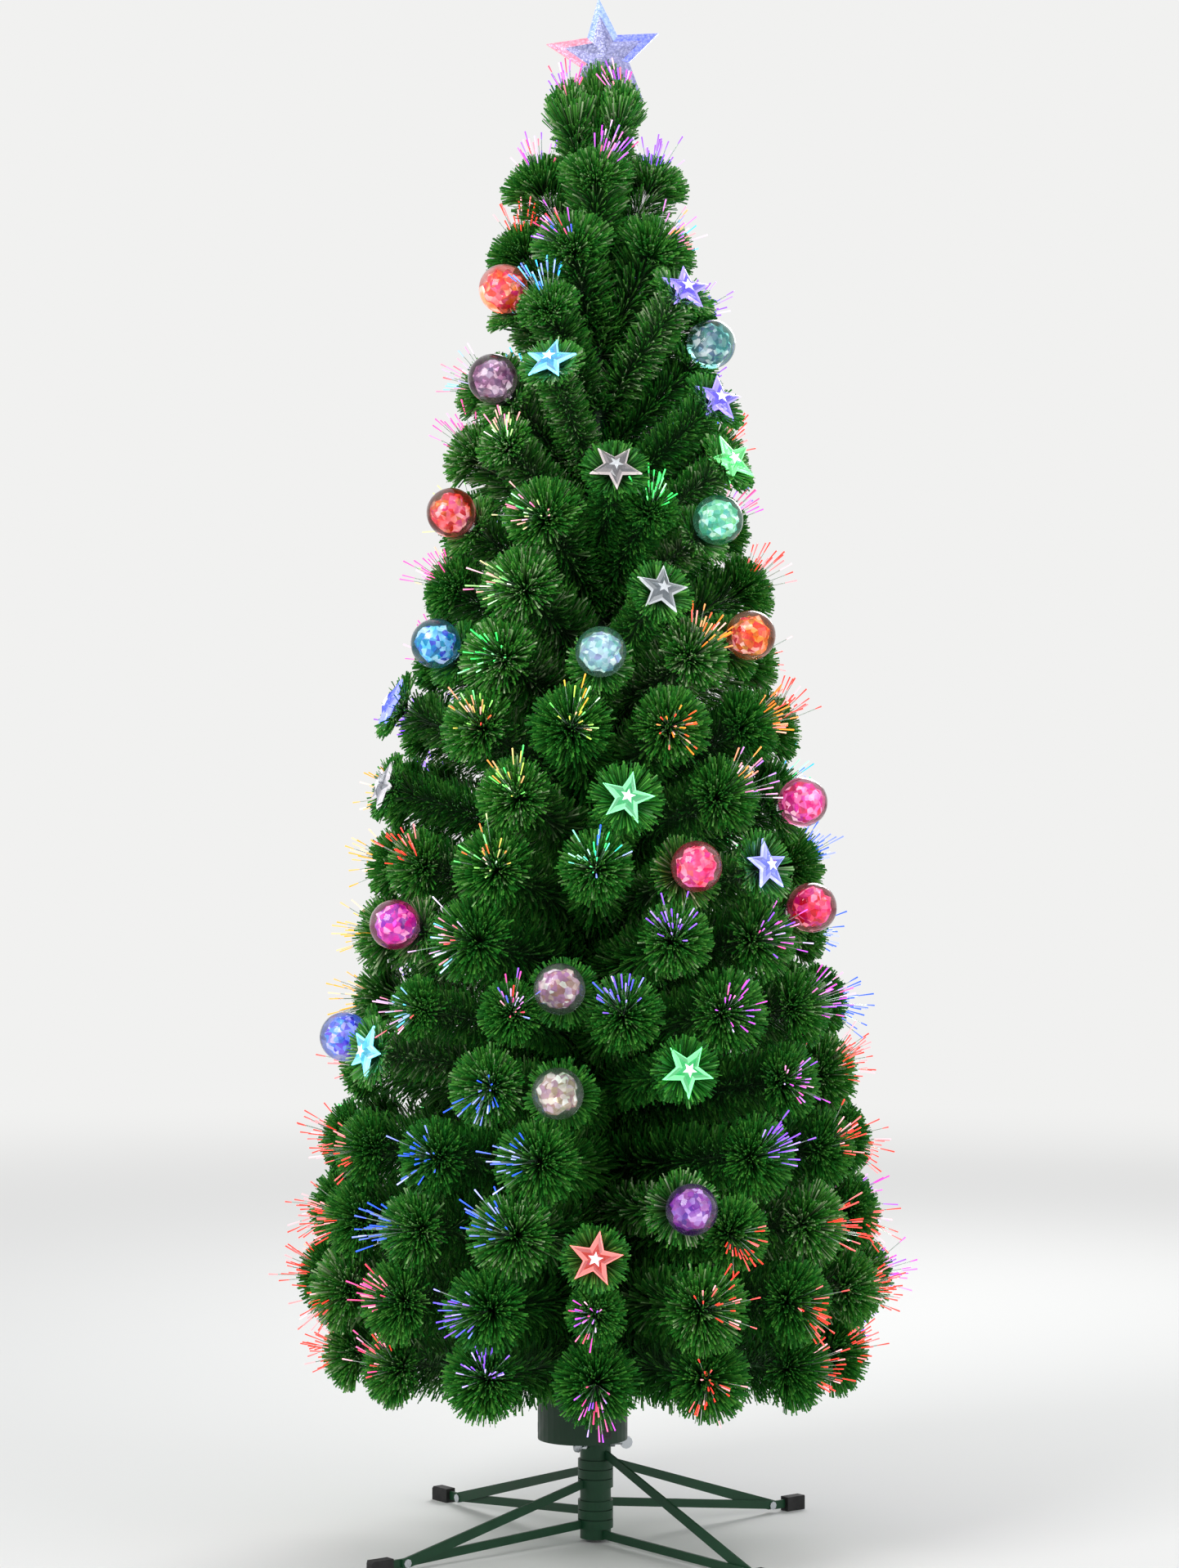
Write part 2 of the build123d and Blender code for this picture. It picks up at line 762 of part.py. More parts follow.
class Tip:
    """The end of one branch: its tier, its direction, its height and what it carries."""

    def __init__(self, tier, angle, height):
        self.tier = tier
        self.angle = angle
        self.height = height
        self.ending = "tuft"
        self.radius = tuft_radius

    def is_lower(self):
        """Whether the branch is on the trunk's lower tube."""
        return self.tier < lower_tiers()

    def point(self, stand_out=0):
        """The tip's place, or one that stands out from it along the ground plan."""
        reach = reach_at(self.height) + stand_out
        return Vector(reach * cos(radians(self.angle)), reach * sin(radians(self.angle)), self.height)

    def root_height(self):
        """Height of the stem's start, which stays on the branch's own tube."""
        height = root_height(self.height)
        if self.is_lower():
            return min(height, pole_joint_height - sleeve_margin)
        return max(height, stop_ring_bottom + stop_ring_height + sleeve_margin)

    def root(self):
        """Where the stem starts, just clear of the sleeve."""
        pole_radius = lower_pole_radius if self.is_lower() else upper_pole_radius
        height = self.root_height()
        reach = pole_radius + sleeve_wall + seat_gap
        return Vector(reach * cos(radians(self.angle)), reach * sin(radians(self.angle)), height)


def tier_height(tier):
    """Height of the tips of a tier."""
    step = (highest_tip_height - lowest_tip_height) / (tier_count - 1)
    return lowest_tip_height + tier * step


def lower_tiers():
    """How many tiers have their stems below the trunk's joint."""
    return sum(root_height(tier_height(tier)) < pole_joint_height for tier in range(tier_count))


def regular_tips():
    """Every branch tip, in tiers that are staggered by half a pitch."""
    tips = []
    for tier in range(tier_count):
        height = tier_height(tier)
        count = max(least_branches, round(2 * pi * reach_at(height) / tip_spacing))
        for number in range(count):
            tips.append(Tip(tier, 360 * (number + 0.5 * ((tier_count - tier) % 2)) / count, height))
    return tips


def seen_at(pixel):
    """Angle and height of the place on the crown that is seen at a pixel of the photograph."""
    depth = 0
    for _ in range(sight_rounds):
        scale = (camera_distance_share * crown_height - depth) / pixel_focal
        across = (pixel[0] - centre_pixel[0]) * scale + camera_side_share * crown_height
        height = camera_height_share * crown_height + (centre_pixel[1] - pixel[1]) * scale
        reach = reach_at(height)
        sine = max(-edge_share, min(edge_share, across / reach))
        depth = reach * sqrt(1 - sine**2)
    return degrees(asin(sine)) - 90, height


def ornament_tips(tips):
    """Turn the nearest branch to each ornament towards it."""
    for pixels, ending in ((ball_pixels, "ball"), (star_pixels, "star")):
        for pixel in pixels:
            angle, height = seen_at(pixel)
            free = [tip for tip in tips if tip.ending == "tuft"]
            target = Tip(0, angle, height)
            nearest = min(free, key=lambda tip: (tip.point() - target.point()).length)
            nearest.angle = angle
            nearest.height = height
            nearest.ending = ending
            nearest.radius = collar_tuft_radius


def fit_tufts(tips):
    """Give each tuft the room that its neighbours leave, and drop those with too little."""
    ornaments = [tip for tip in tips if tip.ending != "tuft"]
    kept = []
    for tip in tips:
        if tip.ending == "tuft":
            room = [(other.point() - tip.point()).length - ornament_room for other in ornaments]
            if min(room) >= least_tuft_radius:
                tip.radius = min(tip.radius, min(room) - tuft_gap)
                kept.append(tip)
        else:
            kept.append(tip)
    for tip in kept:
        others = [(other.point() - tip.point()).length for other in kept if other is not tip]
        tip.radius = min(tip.radius, min(others) / 2 - tuft_gap)
        if tip.tier == tier_count - 1:
            tip.radius = min(tip.radius, top_tuft_radius)
    return kept


@lru_cache(maxsize=None)
def tuft_branch(length, radius):
    """A branch that ends in a domed tuft with a few long strands, on the XY plane."""
    neck = corners(brush_radius_share * radius, tuft_sides, brush_start_share * length)
    with BuildPart() as branch:
        ConvexPolyhedron([Vector(0, 0), *neck])
        ConvexPolyhedron(
            neck
            + corners(radius, tuft_sides, length - dome_height)
            + corners(dome_radius_share * radius, tuft_sides, length)
        )
        for strand in range(strands_per_tuft):
            foot = Vector(strand_place_share * radius, 0).rotate(Axis.Z, 360 * strand / strands_per_tuft)
            tip = foot * (1 + strand_length / length) + Vector(0, 0, length + strand_length)
            ConvexPolyhedron(corners(strand_radius, 3, length - strand_depth, foot) + [tip])
    return branch.part


@lru_cache(maxsize=None)
def collar_branch(length, radius):
    """A branch that ends in a flat collar of needles behind an ornament, on the XY plane."""
    neck = corners(brush_radius_share * radius, tuft_sides, brush_start_share * length)
    with BuildPart() as branch:
        ConvexPolyhedron([Vector(0, 0), *neck])
        ConvexPolyhedron(neck + corners(radius, tuft_sides, length))
    return branch.part


def ornament_centre(tip):
    """Where an ornament's middle lies."""
    return tip.point(ball_stand_out if tip.ending == "ball" else star_stand_out)


def branch_plane(tip):
    """The plane at a branch's root, looking along its stem."""
    end = tip.point() if tip.ending == "tuft" else ornament_centre(tip)
    return plane_along(tip.root(), end)


def branch_length(tip):
    """Length of a branch, up to its tuft's dome or to the ornament's holder."""
    if tip.ending == "tuft":
        return (tip.point() - tip.root()).length
    centre = ornament_centre(tip)
    back = ball_radius * sin(radians(ball_ring_angles[-1])) if tip.ending == "ball" else star_plate
    return (centre - tip.root()).length - back - holder_height


def branch_solid(tip):
    """One branch in its place."""
    if tip.ending == "tuft":
        branch = tuft_branch(branch_length(tip), tip.radius)
    else:
        branch = collar_branch(branch_length(tip), tip.radius)
    return branch.moved(branch_plane(tip).location)


def node_of(tip):
    """The number of the branch group, within its tube, that a tip belongs to."""
    if tip.is_lower():
        return tip.tier * lower_node_count // lower_tiers()
    return (tip.tier - lower_tiers()) * upper_node_count // (tier_count - lower_tiers())


def make_branches(tips):
    """The groups of branches and the sleeves that their stems are wound on."""
    for section, is_lower, pole_radius, count in (
        ("lower", True, lower_pole_radius, lower_node_count),
        ("upper", False, upper_pole_radius, upper_node_count),
    ):
        section_tips = [tip for tip in tips if tip.is_lower() == is_lower]
        roots = []
        for number in range(count):
            group = [tip for tip in section_tips if node_of(tip) == number]
            roots.append([tip.root_height() for tip in group])
            with BuildPart() as branches:
                add([branch_solid(tip) for tip in group])
            save(branches, f"{section}_branches_{number + 1}")
        with BuildPart() as sleeves:
            for number, heights in enumerate(roots):
                bottom = min(heights) - sleeve_margin
                top = max(heights) + sleeve_margin
                if number + 1 < count:
                    top = min(top, min(roots[number + 1]) - sleeve_margin - seat_gap)
                make_flat_ring(
                    Plane.XY.offset(bottom), pole_radius + sleeve_wall, pole_radius,
                    top - bottom, small_sides,
                )
        save(sleeves, f"{section}_branch_sleeves")


# Ornaments

@lru_cache(maxsize=None)
def ball_solid():
    """A facetted ball on the XY plane, with its flat back on the plane."""
    with BuildPart() as ball:
        points = []
        for angle in ball_ring_angles:
            height = ball_radius * (sin(radians(angle)) - sin(radians(ball_ring_angles[0])))
            points += corners(ball_radius * cos(radians(angle)), ball_sides, height)
        ConvexPolyhedron(points)
    return ball.part


def star_corners(radius, waist_share, turn=0):
    """The corners of a five-pointed star that points up, or is turned from there."""
    outline = []
    for corner in range(2 * star_points):
        reach = radius if corner % 2 == 0 else radius * waist_share
        outline.append(Vector(0, reach).rotate(Axis.Z, turn + 180 * corner / star_points))
    return outline


@lru_cache(maxsize=None)
def star_solid():
    """A small star on the XY plane: a flat back and a front that rises to a peak."""
    with BuildPart() as star:
        with BuildSketch(Plane.XY.offset(star_plate)) as outline:
            with BuildLine():
                Polyline(*star_corners(star_radius, star_waist_share), close=True)
            make_face()
        extrude(amount=-star_plate)
        loft([outline.sketch.faces()[0], Vertex(0, 0, star_plate + star_peak)], ruled=True)
    return star.part


def make_ornaments(tips):
    """The balls, the small stars and the holders behind them, for each tube of the trunk."""
    for section, is_lower in (("lower", True), ("upper", False)):
        section_tips = [tip for tip in tips if tip.is_lower() == is_lower and tip.ending != "tuft"]
        with BuildPart() as holders:
            for tip in section_tips:
                with BuildSketch(branch_plane(tip).offset(branch_length(tip))):
                    RegularPolygon(holder_radius, holder_sides)
                extrude(amount=holder_height)
        save(holders, f"{section}_ornament_holders")
        for ending, shape, name in (("ball", ball_solid(), "balls"), ("star", star_solid(), "small_stars")):
            with BuildPart() as ornaments:
                places = [
                    branch_plane(tip).offset(branch_length(tip) + holder_height)
                    for tip in section_tips if tip.ending == ending
                ]
                add([shape.moved(place.location) for place in places])
            save(ornaments, f"{section}_{name}")


# Top star

def make_top_star():
    """The post, the socket that slides over it and the two halves of the star."""
    post_plane = Plane(
        origin=(0, 0, pole_top + pole_cap_height),
        x_dir=(cos(radians(post_lean)), 0, -sin(radians(post_lean))),
        z_dir=(sin(radians(post_lean)), 0, cos(radians(post_lean))),
    )
    with BuildPart() as post:
        with BuildSketch(post_plane):
            Circle(post_radius)
        extrude(amount=post_length)
        split(bisect_by=Plane.XY.offset(pole_top + pole_cap_height), keep=Keep.TOP)
    save(post, "leader_post")

    socket_plane = post_plane.offset(post_length + seat_gap + socket_wall - socket_length)
    with BuildPart() as socket:
        with BuildSketch(socket_plane):
            RegularPolygon(post_radius + seat_gap + socket_wall, small_sides)
        extrude(amount=socket_length)
        with BuildSketch(socket_plane):
            RegularPolygon(post_radius + seat_gap, small_sides, major_radius=False)
        extrude(amount=socket_length - socket_wall, mode=Mode.SUBTRACT)
    save(socket, "star_socket")

    centre_x = sin(radians(post_lean)) * (top_star_height - pole_top)
    for name, side in (("top_star_front", -1), ("top_star_back", 1)):
        plane = Plane(
            origin=(centre_x, side * top_star_plate, top_star_height),
            x_dir=(-side, 0, 0),
            z_dir=(0, side, 0),
        )
        with BuildPart() as half:
            with BuildSketch(plane) as outline:
                with BuildLine():
                    Polyline(
                        *star_corners(top_star_radius, top_star_waist_share, -side * top_star_turn),
                        close=True,
                    )
                make_face()
            extrude(amount=-top_star_plate)
            peak = Vertex(centre_x, side * (top_star_plate + top_star_peak), top_star_height)
            loft([outline.sketch.faces()[0], peak], ruled=True)
            with BuildSketch(socket_plane):
                RegularPolygon(post_radius + seat_gap + socket_wall, small_sides)
            extrude(amount=socket_length, mode=Mode.SUBTRACT)
        save(half, name)


make_stand_tube()
make_clamp_nuts()
for screw_number, screw_angle in enumerate(screw_angles, start=1):
    make_clamp_screw(screw_number, screw_angle)
for leg_number, leg_angle in enumerate(leg_angles):
    make_leg(
        leg_number + 1,
        leg_angle,
        upper_ring_start - leg_number * ring_pitch,
        lower_ring_start + (-leg_number) % len(leg_angles) * ring_pitch,
        leg_number == 0,
    )
make_housing_base()
make_housing_cover()
make_housing_screws()
make_lamp()
make_wheel_drive()
make_controls()
make_trunk()
all_tips = regular_tips()
ornament_tips(all_tips)
all_tips = fit_tufts(all_tips)
make_branches(all_tips)
make_ornaments(all_tips)
make_top_star()
print("branches", len(all_tips))
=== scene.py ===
"""A slim fiber optic christmas tree: its needles, fibre tips, ornaments, star, stand and lamp housing."""

import json
import random
from functools import partial
from math import cos, pi, radians, sin

import bmesh
import bpy
from mathutils import Matrix, Vector


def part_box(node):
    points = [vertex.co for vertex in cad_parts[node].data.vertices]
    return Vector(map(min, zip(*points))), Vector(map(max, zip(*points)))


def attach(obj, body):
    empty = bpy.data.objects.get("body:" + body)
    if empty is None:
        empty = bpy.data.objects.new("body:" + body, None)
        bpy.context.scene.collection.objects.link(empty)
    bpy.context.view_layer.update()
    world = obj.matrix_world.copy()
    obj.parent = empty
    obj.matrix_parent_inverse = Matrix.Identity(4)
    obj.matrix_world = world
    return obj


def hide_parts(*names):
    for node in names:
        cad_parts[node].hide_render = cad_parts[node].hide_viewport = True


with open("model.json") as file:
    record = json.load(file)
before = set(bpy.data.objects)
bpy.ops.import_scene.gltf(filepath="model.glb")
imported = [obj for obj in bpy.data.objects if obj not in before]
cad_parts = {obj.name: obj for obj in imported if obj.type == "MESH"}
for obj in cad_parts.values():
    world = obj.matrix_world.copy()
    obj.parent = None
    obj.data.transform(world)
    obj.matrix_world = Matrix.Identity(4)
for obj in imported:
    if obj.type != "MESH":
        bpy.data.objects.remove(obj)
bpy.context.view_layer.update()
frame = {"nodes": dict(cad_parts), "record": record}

bl_info = {
    "name": "Fiber optic tree",
    "version": (1, 0, 0),
    "blender": (4, 5, 0),
    "location": "3D View > Sidebar > Tree",
    "description": "Dresses the tree's frame with needles, glowing fibre tips, ornaments and finishes",
    "category": "Add Mesh",
}

UP = Vector((0, 0, 1))
BLACK = (0, 0, 0, 1)
# The strands of fibre that end a tuft's solid stand this far out of it, in metres
STRAND_LENGTH = 0.034
# A branch's solid with fewer corners than this is a collar round an ornament
TUFT_CORNERS = 14
STAR_POINTS = 5
# From this height up, in metres, the tufts make the crest under the top star
CREST_HEIGHT = 1.66
# How far a tuft's fibres are swept to one side, at least and at most: 1 is half a right angle
FIBRE_SWEEP = (0.15, 0.65)
# How much longer the needles of the fullest brush are, and how much paler those of the palest
FULLEST, PALEST = 0.15, 0.3
# A lit end reaches this far past its fibre's shaft, in metres
END_BEYOND_SHAFT = 0.0005
# In radians
GOLDEN_ANGLE = 2.399963
# How far the random values of a piece lie from those of the piece with the seed before its own
SEED_STRIDE = 7919.0
# A strip 1 m long and wide, which each copy scales
STRIP = {"Side Segments": 1, "Fill Segments": 1, "Radius Top": 0.5, "Depth": 1.0}
# In metres: a light stands as far out as the place that it lights, or at least this far
SHORTEST_SPREAD = 0.08
# In metres: the second nearest light counts only when it is nearer than this
SECOND_LIGHT_REACH = 0.16
BRANCH_NODES = {
    "lower_tree": [f"lower_branches_{number}" for number in range(1, 6)],
    "upper_tree": [f"upper_branches_{number}" for number in range(1, 5)],
}
SECTIONS = {"lower_tree": "lower", "upper_tree": "upper"}

# Light that the colour wheel sends to each part of the crown: its angle round the trunk in degrees, with the
# front at -90, its height in metres, and its colour
LIGHTS = (
    (-62, 0.30, "red"), (-30, 0.34, "red"), (-75, 0.20, "red"), (-45, 0.22, "red"), (-12, 0.45, "red"),
    (-100, 0.20, "violet"), (-115, 0.24, "violet"), (-135, 0.22, "pink"), (-150, 0.28, "red"),
    (-108, 0.42, "blue"), (-125, 0.46, "blue"), (-85, 0.62, "blue"), (-140, 0.62, "cyan"),
    (-160, 0.48, "red"), (-58, 0.62, "violet"), (-70, 0.75, "violet"), (-40, 0.70, "pink"),
    (-118, 0.70, "red"), (-140, 0.84, "red"), (-100, 0.82, "green"), (-86, 0.80, "blue"),
    (-70, 0.97, "amber"), (-95, 1.02, "green"), (-112, 1.10, "green"), (-55, 1.05, "red"),
    (-130, 1.25, "pink"), (-105, 1.28, "green"), (-65, 1.30, "green"), (-85, 1.40, "green"),
    (-95, 1.47, "blue"), (-140, 1.45, "cyan"), (-125, 1.56, "red"), (-70, 1.52, "amber"),
    (-100, 1.64, "violet"),
    (20, 0.30, "violet"), (60, 0.45, "red"), (100, 0.30, "blue"), (140, 0.40, "green"), (170, 0.30, "red"),
    (10, 0.75, "blue"), (50, 0.85, "green"), (95, 0.75, "red"), (135, 0.80, "violet"), (175, 0.75, "amber"),
    (0, 1.15, "red"), (70, 1.20, "blue"), (120, 1.15, "green"), (165, 1.20, "pink"),
    (30, 1.50, "violet"), (110, 1.50, "cyan"), (180, 1.48, "red"),
)


def linear(code):
    """Turn an sRGB hex colour into a linear one with alpha."""
    parts = [int(code[place:place + 2], 16) / 255 for place in (1, 3, 5)]
    return (*[part / 12.92 if part <= 0.04045 else ((part + 0.055) / 1.055) ** 2.4 for part in parts], 1.0)


GLOWS = {
    "red": linear("#ff3a2e"), "pink": linear("#ff4fa0"), "violet": linear("#8a4dff"),
    "blue": linear("#2f5bff"), "cyan": linear("#3fc8ff"), "green": linear("#3dff6a"),
    "amber": linear("#ff9a2e"),
}


# Node trees

def fill(node, inputs):
    """Link or fill a node's inputs, by name or by place. A node given as a value means its first output."""
    sockets = [socket for socket in node.inputs if socket.enabled]
    for key, value in dict(inputs).items():
        socket = sockets[key] if isinstance(key, int) else next(each for each in sockets if each.name == key)
        if isinstance(value, bpy.types.Node):
            value = next(output for output in value.outputs if output.enabled)
        if isinstance(value, bpy.types.NodeSocket):
            node.id_data.links.new(value, socket)
        else:
            socket.default_value = value


def add_node(tree, kind, inputs=(), **settings):
    """Add a node with its settings and its inputs."""
    node = tree.nodes.new(kind)
    for name, value in settings.items():
        setattr(node, name, value)
    fill(node, inputs)
    return node


def new_tree(name, inputs):
    """Start a geometry node tree: gives what adds a node to it, its named inputs, and its result."""
    tree = bpy.data.node_groups.new(name, "GeometryNodeTree")
    for way in ("INPUT", "OUTPUT"):
        tree.interface.new_socket("Geometry", in_out=way, socket_type="NodeSocketGeometry")
    for label, value in inputs.items():
        # An input without a value is a material
        kind = {int: "Int", float: "Float"}.get(type(value), "Material")
        socket = tree.interface.new_socket(label, in_out="INPUT", socket_type=f"NodeSocket{kind}")
        if value is not None:
            socket.default_value = value
    given = tree.nodes.new("NodeGroupInput").outputs
    return partial(add_node, tree), given, tree.nodes.new("NodeGroupOutput")


def copy_points(add, given, points, amount, ranges):
    """Copy each point. Gives the copies, their numbers, and a random value in each range for each copy."""
    copies = add("GeometryNodeDuplicateElements", {"Geometry": points, "Amount": amount}, domain="POINT")
    # Each random value has a seed of its own, and the piece's seed shifts them all
    shift = add("ShaderNodeMath", {0: given["Seed"], 1: SEED_STRIDE}, operation="MULTIPLY")
    identity = add("ShaderNodeMath", {0: add("GeometryNodeInputIndex"), 1: shift}, operation="ADD")
    chances = {
        label: add("FunctionNodeRandomValue", {
            "Min": low, "Max": high, "ID": identity, "Seed": seed,
        }, data_type="FLOAT_VECTOR" if isinstance(low, tuple) else "FLOAT")
        for seed, (label, (low, high)) in enumerate(ranges.items(), start=1)
    }
    return copies, copies.outputs["Duplicate Index"], chances


def lean_out(add, along, lean, number, turn_shift):
    """A direction that leans away from the stem, each copy a golden angle further round it than the last."""
    golden = add("ShaderNodeMath", {0: number, 1: GOLDEN_ANGLE}, operation="MULTIPLY")
    turn = add("ShaderNodeMath", {0: golden, 1: turn_shift}, operation="ADD")
    level = add("ShaderNodeVectorMath", {
        0: add("ShaderNodeVectorMath", {0: UP, 1: along}, operation="CROSS_PRODUCT"),
    }, operation="NORMALIZE")
    around = add("ShaderNodeVectorRotate", {
        "Vector": level, "Axis": along, "Angle": turn,
    }, rotation_type="AXIS_ANGLE")
    forward, outward = [
        add("ShaderNodeVectorMath", {
            0: axis, "Scale": add("ShaderNodeMath", {0: lean}, operation=wave),
        }, operation="SCALE") for axis, wave in ((along, "COSINE"), (around, "SINE"))
    ]
    return add("ShaderNodeVectorMath", {0: forward, 1: outward}, operation="ADD")


def brush_tree():
    """Needles that fan out from a stem: one needle's foot slides back along it as the needle leans out."""
    add, given, result = new_tree("Needle brush", {
        "Needles": 900, "Needles per metre": 0.0, "Lean at the tip": 0.1, "Lean at the back": 1.4,
        "Spread of leans": 0.6, "Foot at the tip": 1.0, "Foot at the back": 0.75, "Share of the stem": 0.0,
        "Length": 1.0, "Needle width": 0.0018, "Needle thickness": 0.0007, "Disorder": 0.08, "Seed": 1,
        "Material": None,
    })
    stem, reach, shade, kept_amount = [
        add("GeometryNodeInputNamedAttribute", {"Name": name}, data_type=kind) for name, kind in (
            ("stem", "FLOAT_VECTOR"), ("reach", "FLOAT"), ("shade", "FLOAT"), ("amount", "FLOAT"),
        )
    ]
    along = add("ShaderNodeVectorMath", {0: stem}, operation="NORMALIZE")
    stem_length = add("ShaderNodeVectorMath", {0: stem}, operation="LENGTH").outputs["Value"]
    extra = add("ShaderNodeMath", {0: stem_length, 1: given["Needles per metre"]}, operation="MULTIPLY")
    amount = add("ShaderNodeMath", {0: extra, 1: given["Needles"]}, operation="ADD")
    # The amount is kept on the points, because it is read again after they are copied
    counted = add("GeometryNodeStoreNamedAttribute", {
        "Geometry": given["Geometry"], "Name": "amount", "Value": amount,
    }, data_type="FLOAT", domain="POINT")
    copies, number, chances = copy_points(add, given, counted, amount, {
        "lean": (-0.09, 0.09), "turn": (-0.5, 0.5), "length": (0.82, 1.06),
        "jolt": ((-1, -1, -1), (1, 1, 1)), "twist": (0.0, 2 * pi), "tone": (0.0, 1.0),
    })
    middle = add("ShaderNodeMath", {0: number, 1: 0.5}, operation="ADD")
    share = add("ShaderNodeMath", {0: middle, 1: kept_amount}, operation="DIVIDE")

    lean_share = add("ShaderNodeMath", {0: share, 1: given["Spread of leans"]}, operation="POWER")
    mean_lean, foot_share = [
        add("ShaderNodeMix", {
            "Factor": factor, "A": given[f"{what} at the tip"], "B": given[f"{what} at the back"],
        }, data_type="FLOAT") for what, factor in (("Lean", lean_share), ("Foot", share))
    ]
    lean = add("ShaderNodeMath", {0: mean_lean, 1: chances["lean"]}, operation="ADD")
    straight = lean_out(add, along, lean, number, chances["turn"])
    jolted = add("ShaderNodeVectorMath", {0: chances["jolt"], "Scale": given["Disorder"]}, operation="SCALE")
    heading = add("ShaderNodeVectorMath", {0: straight, 1: jolted}, operation="ADD")

    foot_reach = add("ShaderNodeMath", {0: foot_share, 1: reach}, operation="MULTIPLY")
    stem_share = add("ShaderNodeMath", {0: given["Share of the stem"], 1: share}, operation="MULTIPLY")
    stem_back = add("ShaderNodeMath", {0: stem_share, 1: stem_length}, operation="MULTIPLY")
    back = add("ShaderNodeMath", {0: foot_reach, 1: stem_back}, operation="ADD")
    feet = add("GeometryNodeSetPosition", {
        "Geometry": copies, "Offset": add("ShaderNodeVectorMath", {
            0: along, "Scale": add("ShaderNodeMath", {0: back, 1: -1.0}, operation="MULTIPLY"),
        }, operation="SCALE"),
    })

    # A strip of foil as a long wedge: its point is at the wire and its cut end is outside
    lengthwise = add("ShaderNodeSeparateXYZ", {"Vector": add("GeometryNodeInputPosition")})
    wedge = add("GeometryNodeStoreNamedAttribute", {
        "Geometry": add("GeometryNodeMeshCone", {**STRIP, "Vertices": 3, "Radius Bottom": 0.0}),
        "Name": "along", "Value": lengthwise.outputs["Z"],
    }, data_type="FLOAT", domain="POINT")
    mean_length = add("ShaderNodeMath", {0: reach, 1: given["Length"]}, operation="MULTIPLY")
    length = add("ShaderNodeMath", {0: mean_length, 1: chances["length"]}, operation="MULTIPLY")
    twisted = add("FunctionNodeRotateRotation", {
        "Rotation": add("FunctionNodeAlignRotationToVector", {"Vector": heading}, axis="Z"),
        "Rotate By": add("FunctionNodeAxisAngleToRotation", {"Axis": UP, "Angle": chances["twist"]}),
    }, rotation_space="LOCAL")
    planted = add("GeometryNodeInstanceOnPoints", {
        "Points": feet, "Instance": wedge, "Rotation": twisted, "Scale": add("ShaderNodeCombineXYZ", {
            "X": given["Needle width"], "Y": given["Needle thickness"], "Z": length,
        }),
    })
    # Some branches are paler than others as a whole
    tone = add("ShaderNodeMath", {0: chances["tone"], 1: 0.8, 2: shade}, operation="MULTIPLY_ADD")
    toned = add("GeometryNodeStoreNamedAttribute", {
        "Geometry": planted, "Name": "tone", "Value": tone,
    }, data_type="FLOAT", domain="INSTANCE")
    real = add("GeometryNodeRealizeInstances", {"Geometry": toned})
    dressed = add("GeometryNodeSetMaterial", {"Geometry": real, "Material": given["Material"]})
    fill(result, {"Geometry": dressed})
    return result.id_data


